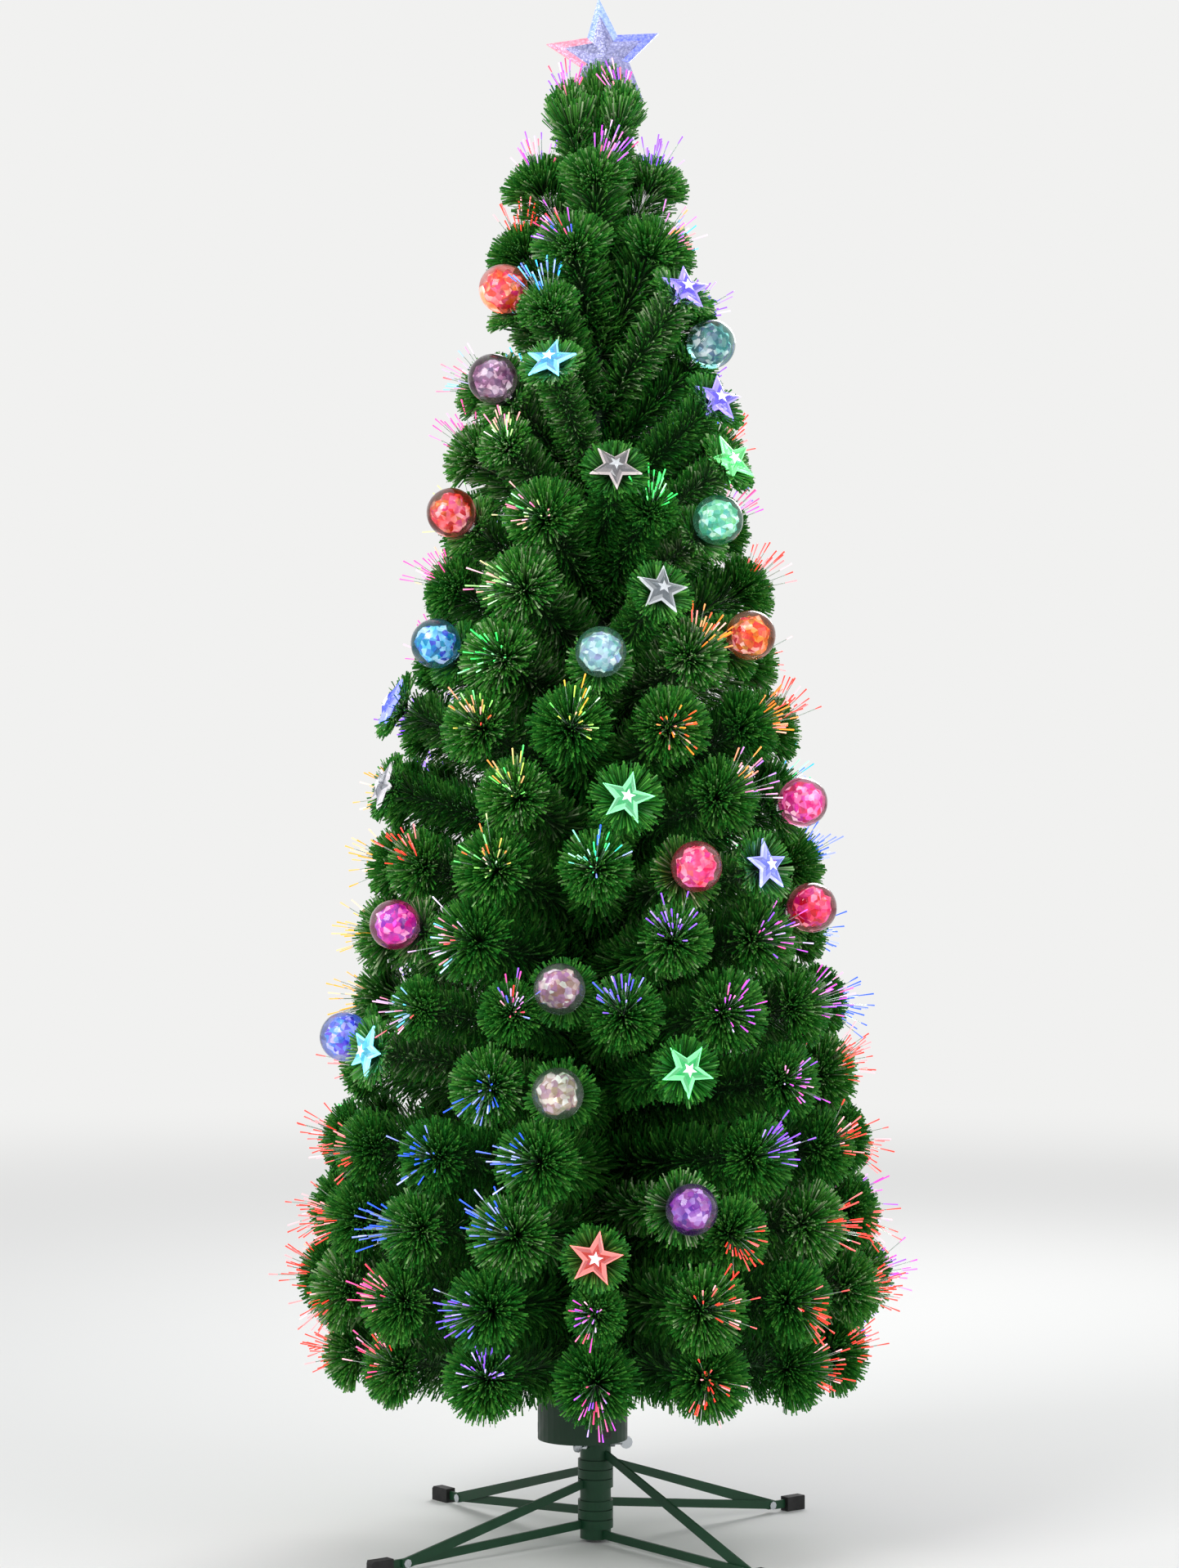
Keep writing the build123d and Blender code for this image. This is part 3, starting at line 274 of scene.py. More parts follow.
def spray_tree():
    """Optical fibres that stand out of a brush: a thin clear shaft, and a lit end that is wider."""
    add, given, result = new_tree("Fibre spray", {
        "Fibres": 14, "Widest lean": 0.7, "Foot": 0.9, "Cover": 0.95, "Shortest": 0.002,
        "Longest": STRAND_LENGTH, "Fibre width": 0.001, "Lit length": 0.009, "Lit width": 0.0021, "Seed": 1,
        "Fibre material": None, "Light material": None,
    })
    stem, sweep, reach, near_glow, other_glow = [
        add("GeometryNodeInputNamedAttribute", {"Name": name}, data_type=kind) for name, kind in (
            ("stem", "FLOAT_VECTOR"), ("sweep", "FLOAT_VECTOR"), ("reach", "FLOAT"),
            ("glow", "FLOAT_COLOR"), ("other_glow", "FLOAT_COLOR"),
        )
    ]
    along = add("ShaderNodeVectorMath", {0: stem}, operation="NORMALIZE")
    copies, number, chances = copy_points(add, given, given["Geometry"], given["Fibres"], {
        "turn": (-0.8, 0.8), "beyond": (given["Shortest"], given["Longest"]), "glow": (0.0, 1.0),
        "lit": (0.5, 1.4), "heat": (0.0, 0.85),
    })
    middle = add("ShaderNodeMath", {0: number, 1: 0.5}, operation="ADD")
    share = add("ShaderNodeMath", {0: middle, 1: given["Fibres"]}, operation="DIVIDE")
    lean_share = add("ShaderNodeMath", {0: share, 1: 0.7}, operation="POWER")
    lean = add("ShaderNodeMath", {0: lean_share, 1: given["Widest lean"]}, operation="MULTIPLY")
    straight = lean_out(add, along, lean, number, chances["turn"])
    swept = add("ShaderNodeVectorMath", {0: straight, 1: sweep}, operation="ADD")
    heading = add("ShaderNodeVectorMath", {0: swept}, operation="NORMALIZE")
    facing = add("FunctionNodeAlignRotationToVector", {"Vector": heading}, axis="Z")

    back = add("ShaderNodeMath", {0: reach, 1: given["Foot"]}, operation="MULTIPLY")
    feet = add("GeometryNodeSetPosition", {
        "Geometry": copies, "Offset": add("ShaderNodeVectorMath", {
            0: along, "Scale": add("ShaderNodeMath", {0: back, 1: -1.0}, operation="MULTIPLY"),
        }, operation="SCALE"),
    })
    cover = add("ShaderNodeMath", {0: reach, 1: given["Cover"]}, operation="MULTIPLY")
    length = add("ShaderNodeMath", {0: cover, 1: chances["beyond"]}, operation="ADD")
    lit_length = add("ShaderNodeMath", {0: given["Lit length"], 1: chances["lit"]}, operation="MULTIPLY")
    start = add("ShaderNodeMath", {0: length, 1: lit_length}, operation="SUBTRACT")
    ends = add("GeometryNodeSetPosition", {
        "Geometry": feet, "Offset": add("ShaderNodeVectorMath", {
            0: heading, "Scale": add("ShaderNodeMath", {0: start, 1: END_BEYOND_SHAFT}, operation="ADD"),
        }, operation="SCALE"),
    })
    shafts, beads = [
        add("GeometryNodeInstanceOnPoints", {
            "Points": points, "Rotation": facing,
            "Instance": add("GeometryNodeMeshCone", {**STRIP, "Vertices": sides, "Radius Bottom": foot}),
            "Scale": add("ShaderNodeCombineXYZ", {"X": given[width], "Y": given[width], "Z": height}),
        }) for points, sides, foot, width, height in (
            (feet, 3, 0.5, "Fibre width", length), (ends, 4, 0.3, "Lit width", lit_length),
        )
    ]
    glow = add("ShaderNodeMix", {
        "Factor": chances["glow"], "A": near_glow, "B": other_glow,
    }, data_type="RGBA")
    # A few ends look white-hot, as where one points at the eye
    heat = add("ShaderNodeMath", {0: chances["heat"], 1: 4.0}, operation="POWER")
    heated = add("ShaderNodeMix", {"Factor": heat, "A": glow, "B": linear("#f4f2ff")}, data_type="RGBA")
    lit = add("GeometryNodeStoreNamedAttribute", {
        "Geometry": beads, "Name": "tint", "Value": heated,
    }, data_type="FLOAT_COLOR", domain="INSTANCE")
    both = add("GeometryNodeJoinGeometry")
    for part, material in ((lit, "Light material"), (shafts, "Fibre material")):
        dressed = add("GeometryNodeSetMaterial", {"Geometry": part, "Material": given[material]})
        fill(both, {"Geometry": dressed})
    fill(result, {"Geometry": add("GeometryNodeRealizeInstances", {"Geometry": both})})
    return result.id_data


# What the frame says

def solids_of(node):
    """The corner points of each separate solid in a CAD node, in an order that never changes."""
    merged = bmesh.new()
    merged.from_mesh(frame["nodes"][node].data)
    bmesh.ops.remove_doubles(merged, verts=merged.verts, dist=1e-6)
    seen = set()
    solids = []
    for first in merged.verts:
        if first in seen:
            continue
        seen.add(first)
        edge = [first]
        points = []
        while edge:
            vertex = edge.pop()
            points.append(vertex.co.copy())
            for link in vertex.link_edges:
                other = link.other_vert(vertex)
                if other not in seen:
                    seen.add(other)
                    edge.append(other)
        solids.append(points)
    merged.free()
    return solids


def middle_of(points):
    """The mean of some points."""
    return sum(points, Vector()) / len(points)


class Branch:
    """A branch as its CAD solid gives it: root, end, brush radius, and whether an ornament sits on it."""

    def __init__(self, points):
        self.root = min(points, key=lambda point: point.xy.length)
        self.along = (middle_of(points) - self.root).normalized()
        self.is_collar = len(points) < TUFT_CORNERS
        heights = [(point - self.root).dot(self.along) for point in points]
        self.length = max(heights) - (0 if self.is_collar else STRAND_LENGTH)
        self.radius = max(
            (point - self.root - self.along * height).length for point, height in zip(points, heights)
        )
        self.end = self.root + self.along * self.length
        # Each brush has its own length of needles, its own shade, and fibres swept to one side
        dice = random.Random(" ".join(f"{part:.3f}" for part in self.end))
        self.fullness, self.paleness = dice.random(), dice.random()
        side = self.along.orthogonal().normalized() * dice.uniform(*FIBRE_SWEEP)
        self.sweep = Matrix.Rotation(dice.uniform(0.0, 2 * pi), 3, self.along) @ side


def branches_of(node):
    """The branches of a CAD node."""
    return [Branch(points) for points in solids_of(node)]


def glow_near(place):
    """The two light colours that reach the fibres at a place, from the nearest two lights."""
    def distance(light):
        direction = Vector((cos(radians(light[0])), sin(radians(light[0]))))
        spread = max(place.xy.length, SHORTEST_SPREAD)
        return ((place.xy - direction * spread).length_squared + (place.z - light[1]) ** 2) ** 0.5

    first, second = sorted(LIGHTS, key=distance)[:2]
    return GLOWS[first[2]], GLOWS[second[2] if distance(second) < SECOND_LIGHT_REACH else first[2]]


def stem_mesh(branches):
    """One point at each branch's end, with what the node trees need to know about it."""
    mesh = bpy.data.meshes.new("stems")
    mesh.from_pydata([branch.end for branch in branches], [], [])
    glows = [glow_near(branch.end) for branch in branches]
    values = {
        "stem": ("FLOAT_VECTOR", "vector", [branch.along * branch.length for branch in branches]),
        "sweep": ("FLOAT_VECTOR", "vector", [branch.sweep for branch in branches]),
        "reach": ("FLOAT", "value", [
            [branch.radius * (0.99 + FULLEST * branch.fullness)] for branch in branches
        ]),
        "shade": ("FLOAT", "value", [[PALEST * branch.paleness] for branch in branches]),
        "glow": ("FLOAT_COLOR", "color", [pair[0] for pair in glows]),
        "other_glow": ("FLOAT_COLOR", "color", [pair[1] for pair in glows]),
    }
    for label, (kind, field, rows) in values.items():
        data = mesh.attributes.new(label, kind, "POINT").data
        data.foreach_set(field, [part for row in rows for part in row])
    return mesh


def new_object(name, data):
    """Put a new object into the scene."""
    thing = bpy.data.objects.new(name, data)
    bpy.context.scene.collection.objects.link(thing)
    return thing


def grow(name, branches, tree, values):
    """Run a node tree on the branches' ends and keep what it makes as a plain mesh object."""
    piece = new_object(name, stem_mesh(branches))
    modifier = piece.modifiers.new(name, "NODES")
    modifier.node_group = tree
    for item in tree.interface.items_tree:
        if item.in_out == "INPUT" and item.name in values:
            modifier[item.identifier] = values[item.name]
    depsgraph = bpy.context.evaluated_depsgraph_get()
    grown = bpy.data.meshes.new_from_object(
        piece.evaluated_get(depsgraph), preserve_all_data_layers=True, depsgraph=depsgraph
    )
    piece.modifiers.clear()
    piece.data = grown
    grown.name = name
    return piece


def ornaments_of(section, kind):
    """The middle and the outward direction of each ornament of a kind on a section of the trunk."""
    body = f"{section}_tree"
    collars = [branch for node in BRANCH_NODES[body] for branch in branches_of(node) if branch.is_collar]
    places = []
    for points in solids_of(f"{section}_{kind}"):
        middle = middle_of(points)
        branch = min(collars, key=lambda each: (middle - each.end).length)
        places.append((middle, branch.along))
    return places


def upright(middle, outward):
    """The matrix that puts a shape's Z axis outward and its Y axis as near up as it can be."""
    side = UP.cross(outward).normalized()
    rise = outward.cross(side)
    return Matrix.Translation(middle) @ Matrix((side, rise, outward)).transposed().to_4x4()


def join(first, second):
    """Put the second object's mesh into the first, and remove the second."""
    with bpy.context.temp_override(active_object=first, selected_editable_objects=[first, second]):
        bpy.ops.object.join()


def finish_piece(piece, body, slot, *nodes):
    """Attach a piece to what it rides on, and hide the CAD nodes that it stands for. The slot is not used."""
    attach(piece, body)
    if nodes:
        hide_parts(*nodes)


def mesh_piece(name, shape, material, smooth=False):
    """Turn a bmesh into an object with one material."""
    mesh = bpy.data.meshes.new(name)
    shape.to_mesh(mesh)
    shape.free()
    mesh.materials.append(material)
    mesh.polygons.foreach_set("use_smooth", [smooth] * len(mesh.polygons))
    return new_object(name, mesh)


# Materials

def new_material(name, paint, **values):
    """A material with a Principled shader, made once: it takes the values, and what paint links to it."""
    material = bpy.data.materials.get(name)
    if not material:
        material = bpy.data.materials.new(name)
        material.use_nodes = True
        shader = material.node_tree.nodes["Principled BSDF"]
        for label, value in values.items():
            shader.inputs[label.replace("_", " ").title().replace("Ior", "IOR")].default_value = value
        fill(shader, paint(partial(add_node, material.node_tree)))
    return material


def painted(name, **values):
    """For a function that says what is linked to a shader: make it give the material, with these values."""
    return lambda paint: partial(new_material, name, paint, **values)


@painted("slit_pvc_foil", roughness=0.42, specular_ior_level=0.22)
def foil_needles(add):
    """PVC foil, slit into needles. The slit strips are satin. Painted shade makes each needle darker towards
    its root, deep in the brush, so it is lightest and yellowest where cut; the palest tone is a painted
    glint.
    """
    colours = bpy.context.scene.tree_settings
    tone = add("ShaderNodeAttribute", attribute_name="tone").outputs["Fac"]
    along = add("ShaderNodeAttribute", attribute_name="along").outputs["Fac"]
    leaf = add("ShaderNodeValToRGB", {"Fac": tone})
    ramp = leaf.color_ramp.elements
    ramp[0].color = (*colours.dark_foil_colour, 1)
    # The palest tone is a painted highlight: a glint on the foil
    ramp[1].color = linear("#bcd8a4")
    for position, colour in ((0.45, (*colours.foil_colour, 1)), (0.88, linear("#62b044"))):
        ramp.new(position).color = colour
    # Painted shade: each needle is darker towards its root, deep in the brush, where it nears dark green
    # #082a10
    lengthwise = add("ShaderNodeMath", {0: along, 1: 1.6}, operation="POWER")
    colour = add("ShaderNodeMix", {
        "Factor": lengthwise, "A": linear("#082a10"), "B": leaf,
    }, data_type="RGBA")
    rough = add("ShaderNodeMapRange", {"Value": tone, "To Min": 0.45, "To Max": 0.3})
    return {"Base Color": colour, "Roughness": rough}


@painted("drawn_pmma_fibre", roughness=0.2, transmission_weight=0.55, ior=1.49)
def clear_fibre(add):
    """PMMA optical fibre, drawn. It is clear, with greener and paler stretches of about 2.5 mm."""
    place = add("ShaderNodeTexCoord").outputs["Object"]
    noise = add("ShaderNodeTexNoise", {"Vector": place, "Scale": 1 / 0.0025})
    return {"Base Color": add("ShaderNodeMix", {
        "Factor": noise, "A": linear("#9fc4a8"), "B": linear("#dfeee6"),
    }, data_type="RGBA")}


@painted("lit_fibre_end", roughness=0.3, emission_strength=1.5)
def lit_end(add):
    """The cut end of a fibre, where the light leaves it. It glows in its own colour."""
    tint = add("ShaderNodeAttribute", attribute_name="tint")
    return {"Base Color": tint, "Emission Color": tint}


@painted("tinted_polystyrene", roughness=0.06, transmission_weight=0.86, ior=1.06, coat_weight=1.0,
         coat_roughness=0.05)
def tinted_shell(add):
    """Blown polystyrene, tinted and clear, paler in swirls of about 26 mm. Thin, so it bends light little."""
    tint = add("ShaderNodeAttribute", attribute_name="tint")
    place = add("ShaderNodeTexCoord").outputs["Object"]
    swirl = add("ShaderNodeTexNoise", {"Vector": place, "Scale": 38.0, "Detail": 3.0})
    paleness = add("ShaderNodeMapRange", {
        "Value": swirl, "From Min": 0.4, "From Max": 0.7, "To Min": 0.0, "To Max": 0.55,
    })
    return {"Base Color": add("ShaderNodeMix", {
        "Factor": paleness, "A": tint, "B": (1, 1, 1, 1),
    }, data_type="RGBA")}


@painted("crumpled_iridescent_film", roughness=0.2, metallic=0.3, coat_weight=0.5, emission_strength=1.0)
def crumpled_film(add):
    """Iridescent film, crumpled round the fibres' ends, in folds about 7 mm wide. It carries a painted glow
    of the fibres' light, and painted glints on some folds.
    """
    tint = add("ShaderNodeAttribute", attribute_name="tint")
    place = add("ShaderNodeTexCoord").outputs["Object"]
    folds = add("ShaderNodeTexVoronoi", {"Vector": place, "Scale": 150.0})
    split = add("ShaderNodeSeparateColor", {"Color": folds.outputs["Color"]})
    hue = add("ShaderNodeMapRange", {"Value": split.outputs["Green"], "To Min": 0.38, "To Max": 0.56})
    veil = add("ShaderNodeHueSaturation", {"Color": tint, "Hue": hue, "Saturation": 1.15})
    # Painted highlights: the brightest folds turn nearly white, and the painted glow below is strongest on
    # them
    painted_glint = add("ShaderNodeMath", {0: split.outputs["Red"], 1: 2.5}, operation="POWER")
    colour = add("ShaderNodeMix", {"Factor": painted_glint, "A": veil, "B": linear("#fff6fb")}, data_type="RGBA")
    bright = add("ShaderNodeMapRange", {"Value": painted_glint, "To Min": 0.2, "To Max": 1.3})
    glow = add("ShaderNodeMix", {"Factor": bright, "A": BLACK, "B": colour}, data_type="RGBA")
    return {"Base Color": colour, "Emission Color": glow}


@painted("moulded_clear_acrylic", roughness=0.07, transmission_weight=0.7, ior=1.49, emission_strength=1.1)
def acrylic_star(add):
    """Moulded clear acrylic, lit from its middle. The light running out along the facets to the points is
    painted, as a glow and a paler colour set by each facet's tone.
    """
    tint = add("ShaderNodeAttribute", attribute_name="tint")
    glow = add("ShaderNodeAttribute", attribute_name="tone").outputs["Fac"]
    base, lit = [
        add("ShaderNodeMix", {"Factor": glow, "A": unlit, "B": tint}, data_type="RGBA")
        for unlit in (linear("#66727b"), BLACK)
    ]
    return {"Base Color": base, "Emission Color": lit}


@painted("crushed_ice_acrylic", roughness=0.14, transmission_weight=0.35, ior=1.49, emission_strength=0.8)
def crushed_ice(add):
    """Clear acrylic with a crushed-ice back, as on the top star. The grains are about 3 mm across."""
    tint = add("ShaderNodeAttribute", attribute_name="tint")
    glow = add("ShaderNodeAttribute", attribute_name="tone").outputs["Fac"]
    place = add("ShaderNodeTexCoord").outputs["Object"]
    grains = add("ShaderNodeTexVoronoi", {"Vector": place, "Scale": 330.0}).outputs["Distance"]
    ice = add("ShaderNodeMix", {
        "Factor": grains, "A": linear("#c9ccee"), "B": linear("#4d5488"),
    }, data_type="RGBA")
    lit = add("ShaderNodeMix", {"Factor": glow, "A": BLACK, "B": tint}, data_type="RGBA")
    bump = add("ShaderNodeBump", {"Height": grains, "Strength": 0.6, "Distance": 0.0012})
    return {"Base Color": ice, "Emission Color": lit, "Normal": bump}


# The plain finishes, by slot: their name, their colour or its setting, the share by which it wanders, their
# grain in metres, how strong their bump is, their roughness, and what else their shader is given
PLAIN_FINISHES = {
    # Dark green coat on steel, with a faint orange peel of about 1.5 mm
    "green_steel": (
        "powder_coated_steel", "coat_colour", 0.25, 0.0015, 0.3, 0.42, {"specular_ior_level": 0.3},
    ),
    # Zinc on steel: bright, a little blue, softly scratched
    "bright_steel": ("zinc_plated_steel", "#c6cbd0", 0.15, 0.0006, 0.15, 0.28, {"metallic": 1.0}),
    # Black and matt, with a fine grain
    "black_rubber": ("moulded_rubber", "#1c1c1c", 0.3, 0.0008, 0.4, 0.8, {}),
    # Dark green, with a spark-eroded grain of about 1 mm
    "green_plastic": (
        "moulded_green_abs", "housing_colour", 0.2, 0.001, 0.3, 0.45, {"specular_ior_level": 0.35},
    ),
    # Black and satin
    "black_plastic": ("moulded_black_nylon", "#161718", 0.25, 0.0008, 0.25, 0.5, {}),
    # Pale grey and satin
    "aluminium": ("extruded_aluminium", "#c2c4c6", 0.12, 0.0005, 0.2, 0.35, {"metallic": 1.0}),
    # Glass and epoxy under green lacquer
    "circuit_board": ("lacquered_circuit_board", "#156a32", 0.2, 0.0012, 0.1, 0.35, {}),
    # Clear and hard: the lens over the lamp, and the star's socket
    "clear_plastic": (
        "moulded_acrylic_lens", "#eef2f6", 0.04, 0.002, 0.05, 0.1, {"transmission_weight": 0.8},
    ),
}
# The ornaments' clips are of the same acrylic
PLAIN_FINISHES["clear_holder"] = PLAIN_FINISHES["clear_plastic"]


def plain_finish(slot):
    """A surface whose colour wanders a little, with a fine bump of the same grain."""
    name, code, change, grain, strength, roughness, values = PLAIN_FINISHES[slot]

    def paint(add):
        colour = linear(code) if code.startswith("#") else getattr(bpy.context.scene.tree_settings, code)
        place = add("ShaderNodeTexCoord").outputs["Object"]
        wide = add("ShaderNodeTexNoise", {"Vector": place, "Scale": 0.08 / grain, "Detail": 4.0})
        fine = add("ShaderNodeTexNoise", {"Vector": place, "Scale": 1 / grain, "Detail": 2.0})
        darker, lighter = [(*[part * share for part in colour[:3]], 1) for share in (1 - change, 1 + change)]
        wandering = add("ShaderNodeMix", {"Factor": wide, "A": darker, "B": lighter}, data_type="RGBA")
        rough = add("ShaderNodeMapRange", {
            "Value": wide, "From Min": 0.3, "From Max": 0.7,
            "To Min": roughness * 0.85, "To Max": roughness * 1.15,
        })
        bump = add("ShaderNodeBump", {"Height": fine, "Strength": strength, "Distance": grain / 4})
        return {"Base Color": wandering, "Roughness": rough, "Normal": bump}

    return new_material(name, paint, roughness=roughness, **values)


@painted("wound_pvc_tape", roughness=0.5)
def wound_tape(add):
    """Green PVC tape, wound round the stems' ends in turns of 12 mm."""
    place = add("ShaderNodeSeparateXYZ", {"Vector": add("ShaderNodeTexCoord").outputs["Object"]})
    turns = add("ShaderNodeMath", {0: place.outputs["Z"], 1: 1 / 0.012}, operation="MULTIPLY")
    edge = add("ShaderNodeMath", {0: turns}, operation="FRACT")
    colour = add("ShaderNodeMix", {
        "Factor": edge, "A": linear("#0c2f17"), "B": linear("#1b5228"),
    }, data_type="RGBA")
    bump = add("ShaderNodeBump", {"Height": edge, "Strength": 0.6, "Distance": 0.0006})
    return {"Base Color": colour, "Normal": bump}


@painted("dyed_wheel_film", roughness=0.15, transmission_weight=0.7, ior=1.3)
def wheel_film(add):
    """Dyed film on the colour wheel: six clear windows round its middle."""
    low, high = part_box("colour_wheel")
    centre = (Vector(low) + Vector(high)) / 2
    place = add("ShaderNodeMapping", {
        "Vector": add("ShaderNodeTexCoord").outputs["Object"], "Location": -centre,
    })
    turn = add("ShaderNodeTexGradient", {"Vector": place}, gradient_type="RADIAL")
    windows = add("ShaderNodeValToRGB", {"Fac": turn.outputs["Fac"]})
    windows.color_ramp.interpolation = "CONSTANT"
    ramp = windows.color_ramp.elements
    names = ("red", "amber", "green", "cyan", "blue", "pink")
    while len(ramp) < len(names):
        ramp.new(0.5)
    for number, name in enumerate(names):
        ramp[number].position = number / len(names)
        ramp[number].color = GLOWS[name]
    return {"Base Color": windows}


# Sizes and colours that a user would change

LENGTH = {"subtype": "DISTANCE", "unit": "LENGTH"}
COLOUR = {"subtype": "COLOR", "min": 0, "max": 1}


class TreeSettings(bpy.types.PropertyGroup):
    """Sizes of the needles, fibres and ornaments, and colours of the foil, the coat and the housing."""

    needles_per_tuft: bpy.props.IntProperty(
        name="Needles per tuft", description="Needles in the fan at a branch's end", default=850, min=50)
    needles_per_metre: bpy.props.FloatProperty(
        name="Needles per metre", description="Needles along each metre of stem behind the fan", default=4800)
    needle_width: bpy.props.FloatProperty(
        name="Needle width", description="Width of a slit strip of foil at its cut end",
        default=0.0026, **LENGTH)
    needle_thickness: bpy.props.FloatProperty(
        name="Needle thickness", description="Thickness of a strip across its fold", default=0.0008, **LENGTH)
    fibres_per_tuft: bpy.props.IntProperty(
        name="Fibres per tuft", description="Optical fibres that end in each tuft", default=20, min=1)
    fibre_width: bpy.props.FloatProperty(
        name="Fibre width", description="Diameter of a fibre", default=0.001, **LENGTH)
    lit_length: bpy.props.FloatProperty(
        name="Lit length", description="Length of a fibre's end that glows", default=0.015, **LENGTH)
    lit_width: bpy.props.FloatProperty(
        name="Lit width", description="Width that the glowing end seems to have", default=0.0018, **LENGTH)
    foil_colour: bpy.props.FloatVectorProperty(
        name="Foil", description="Colour of most needles at their cut ends",
        default=linear("#2f8a2a")[:3], **COLOUR)
    dark_foil_colour: bpy.props.FloatVectorProperty(
        name="Dark foil", description="Colour of the darkest needles at their cut ends",
        default=linear("#1a6420")[:3], **COLOUR)
    coat_colour: bpy.props.FloatVectorProperty(
        name="Powder coat", description="Colour of the stand's and the trunk's steel",
        default=linear("#154028")[:3], **COLOUR)
    housing_colour: bpy.props.FloatVectorProperty(
        name="Housing", description="Colour of the lamp housing's shells",
        default=linear("#0f3620")[:3], **COLOUR)
    ball_radius: bpy.props.FloatProperty(
        name="Ball radius", description="Radius of a ball ornament", default=0.0285, **LENGTH)
    star_radius: bpy.props.FloatProperty(
        name="Small star radius", description="Distance from a small star's middle to its points",
        default=0.031, **LENGTH)
    top_star_radius: bpy.props.FloatProperty(
        name="Top star radius", description="Distance from the top star's middle to its points",
        default=0.069, **LENGTH)


# The ornaments, by where each is seen in the photograph, in its pixels: a ball's shell and the film in it,
# and a star's colour and its turn in its own plane, clockwise in degrees
BALL_TINTS = {
    (614, 353): ("#e8401c", "#ff7a30"), (601, 463): ("#8a5a78", "#c0a0c8"),
    (890, 421): ("#3f8a80", "#9ab8d8"), (550, 627): ("#c8302a", "#ff7a5a"),
    (880, 636): ("#34b890", "#7fe0d0"), (531, 787): ("#28a8c0", "#6a6cff"),
    (735, 797): ("#6fb4a0", "#b8c4f8"), (920, 777): ("#d8701c", "#ffb02a"),
    (984, 981): ("#e84a90", "#ff6ac8"), (853, 1060): ("#f02a58", "#ff5ab0"),
    (995, 1110): ("#e03a68", "#ff5a8a"), (481, 1131): ("#e83a90", "#e860ff"),
    (684, 1210): ("#7a9480", "#e08aa8"), (682, 1338): ("#7aa080", "#e0a0a0"),
    (385, 1268): ("#4a70e0", "#8a80ff"), (847, 1480): ("#7a40a8", "#d860d8"),
}
STAR_TINTS = {
    (829, 352): ("#7a5cff", 6), (677, 440): ("#4fc8ff", 4), (868, 487): ("#7a60ff", 10),
    (751, 571): ("#f0dcdc", 36), (884, 562): ("#3cff70", -18), (805, 721): ("#e4e8ee", 12),
    (486, 860): ("#4a5cff", 0), (481, 960): ("#e4dce4", 20), (765, 975): ("#58e890", 15),
    (929, 1058): ("#7f86ff", 0), (459, 1285): ("#4fd8f8", 20), (836, 1308): ("#3cf080", 36),
    (728, 1538): ("#ff4a3a", 10),
}
# The stars that are bent towards the viewer on their wires, by so many degrees
BENT_STARS = {(829, 352), (868, 487), (884, 562)}
STAR_BEND = 26
UNLIT_STARS = {(751, 571), (805, 721), (481, 960)}
# Where the photograph was taken from, in metres, and its focal length, middle and height in its pixels
CAMERA = Vector((-0.007, -4.312, 0.882))
PIXEL_FOCAL = 4525
CENTRE_PIXEL = (721, 959)
PHOTO_HEIGHT = 1918

# A star's section from its back to its front: the share of its reach, and the height in metres
SMALL_STAR_PROFILE = (
    (0, 0), (0.9, 0), (1, 0.0012), (1, 0.0034), (0.88, 0.0048), (0.56, 0.0062), (0.28, 0.0098), (0, 0.012),
)
TOP_STAR_HALF = (
    (1, 0.0025), (0.86, 0.0044), (0.7, 0.0062), (0.52, 0.0082), (0.34, 0.0104), (0.16, 0.0124), (0, 0.0135),
)
# How far a star's inner corners lie from its middle, as a share of its reach
SMALL_STAR_WAIST, TOP_STAR_WAIST = 0.42, 0.43
# How uneven the facets are, in metres
SMALL_STAR_WAVE, TOP_STAR_WAVE = 0.0004, 0.0009
# How far a small star's back lies behind its solid's middle, in metres
SMALL_STAR_BACK = 0.0025
# How many degrees the top star leans to one side
TOP_STAR_TILT = -5.5
# The film in a ball, and how deep its folds are, as shares of the ball's radius
FILM_RADIUS, FILM_FOLDS = 0.72, 0.11
# Half the floor's width, in metres
FLOOR_REACH = 14


def seen_nearest(place, spots):
    """The spot of the photograph that is nearest to where a place is seen in it."""
    depth = place.y - CAMERA.y
    across = CENTRE_PIXEL[0] + (place.x - CAMERA.x) * PIXEL_FOCAL / depth
    down = CENTRE_PIXEL[1] - (place.z - CAMERA.z) * PIXEL_FOCAL / depth
    return min(spots, key=lambda spot: (spot[0] - across) ** 2 + (spot[1] - down) ** 2)


def new_shape():
    """An empty bmesh that keeps a tint and a tone for each face."""
    shape = bmesh.new()
    shape.loops.layers.float_color.new("tint")
    shape.loops.layers.float.new("tone")
    return shape


def star_into(shape, matrix, radius, waist_share, profile, wave, paint):
    """Add a closed faceted star to a bmesh. Its facets' corners lie up to the wave out of place."""
    tint_layer = shape.loops.layers.float_color["tint"]
    tone_layer = shape.loops.layers.float["tone"]
    dice = random.Random(11)
    sides = 2 * STAR_POINTS

    def corner(number, share, height):
        angle = pi / 2 + pi * number / STAR_POINTS
        reach = radius * (1 if number % 2 == 0 else waist_share) * share
        jolt = Vector([dice.uniform(-1, 1) for _ in range(3)]) * wave * (0 < share < 1)
        return shape.verts.new(matrix @ (Vector((reach * cos(angle), reach * sin(angle), height)) + jolt))

    bands = [
        [corner(number, share, height) for number in range(sides if share else 1)]
        for share, height in profile
    ]
    for level, (lower, upper) in enumerate(zip(bands, bands[1:])):
        middle_share = (profile[level][0] + profile[level + 1][0]) / 2
        for number in range(sides):
            after = (number + 1) % sides
            ring = [band[place % len(band)] for band, place in (
                (lower, number), (lower, after), (upper, after), (upper, number),
            )]
            face = shape.faces.new(list(dict.fromkeys(ring)))
            tint, tone = paint(number, middle_share)
            for loop in face.loops:
                loop[tint_layer], loop[tone_layer] = tint, tone


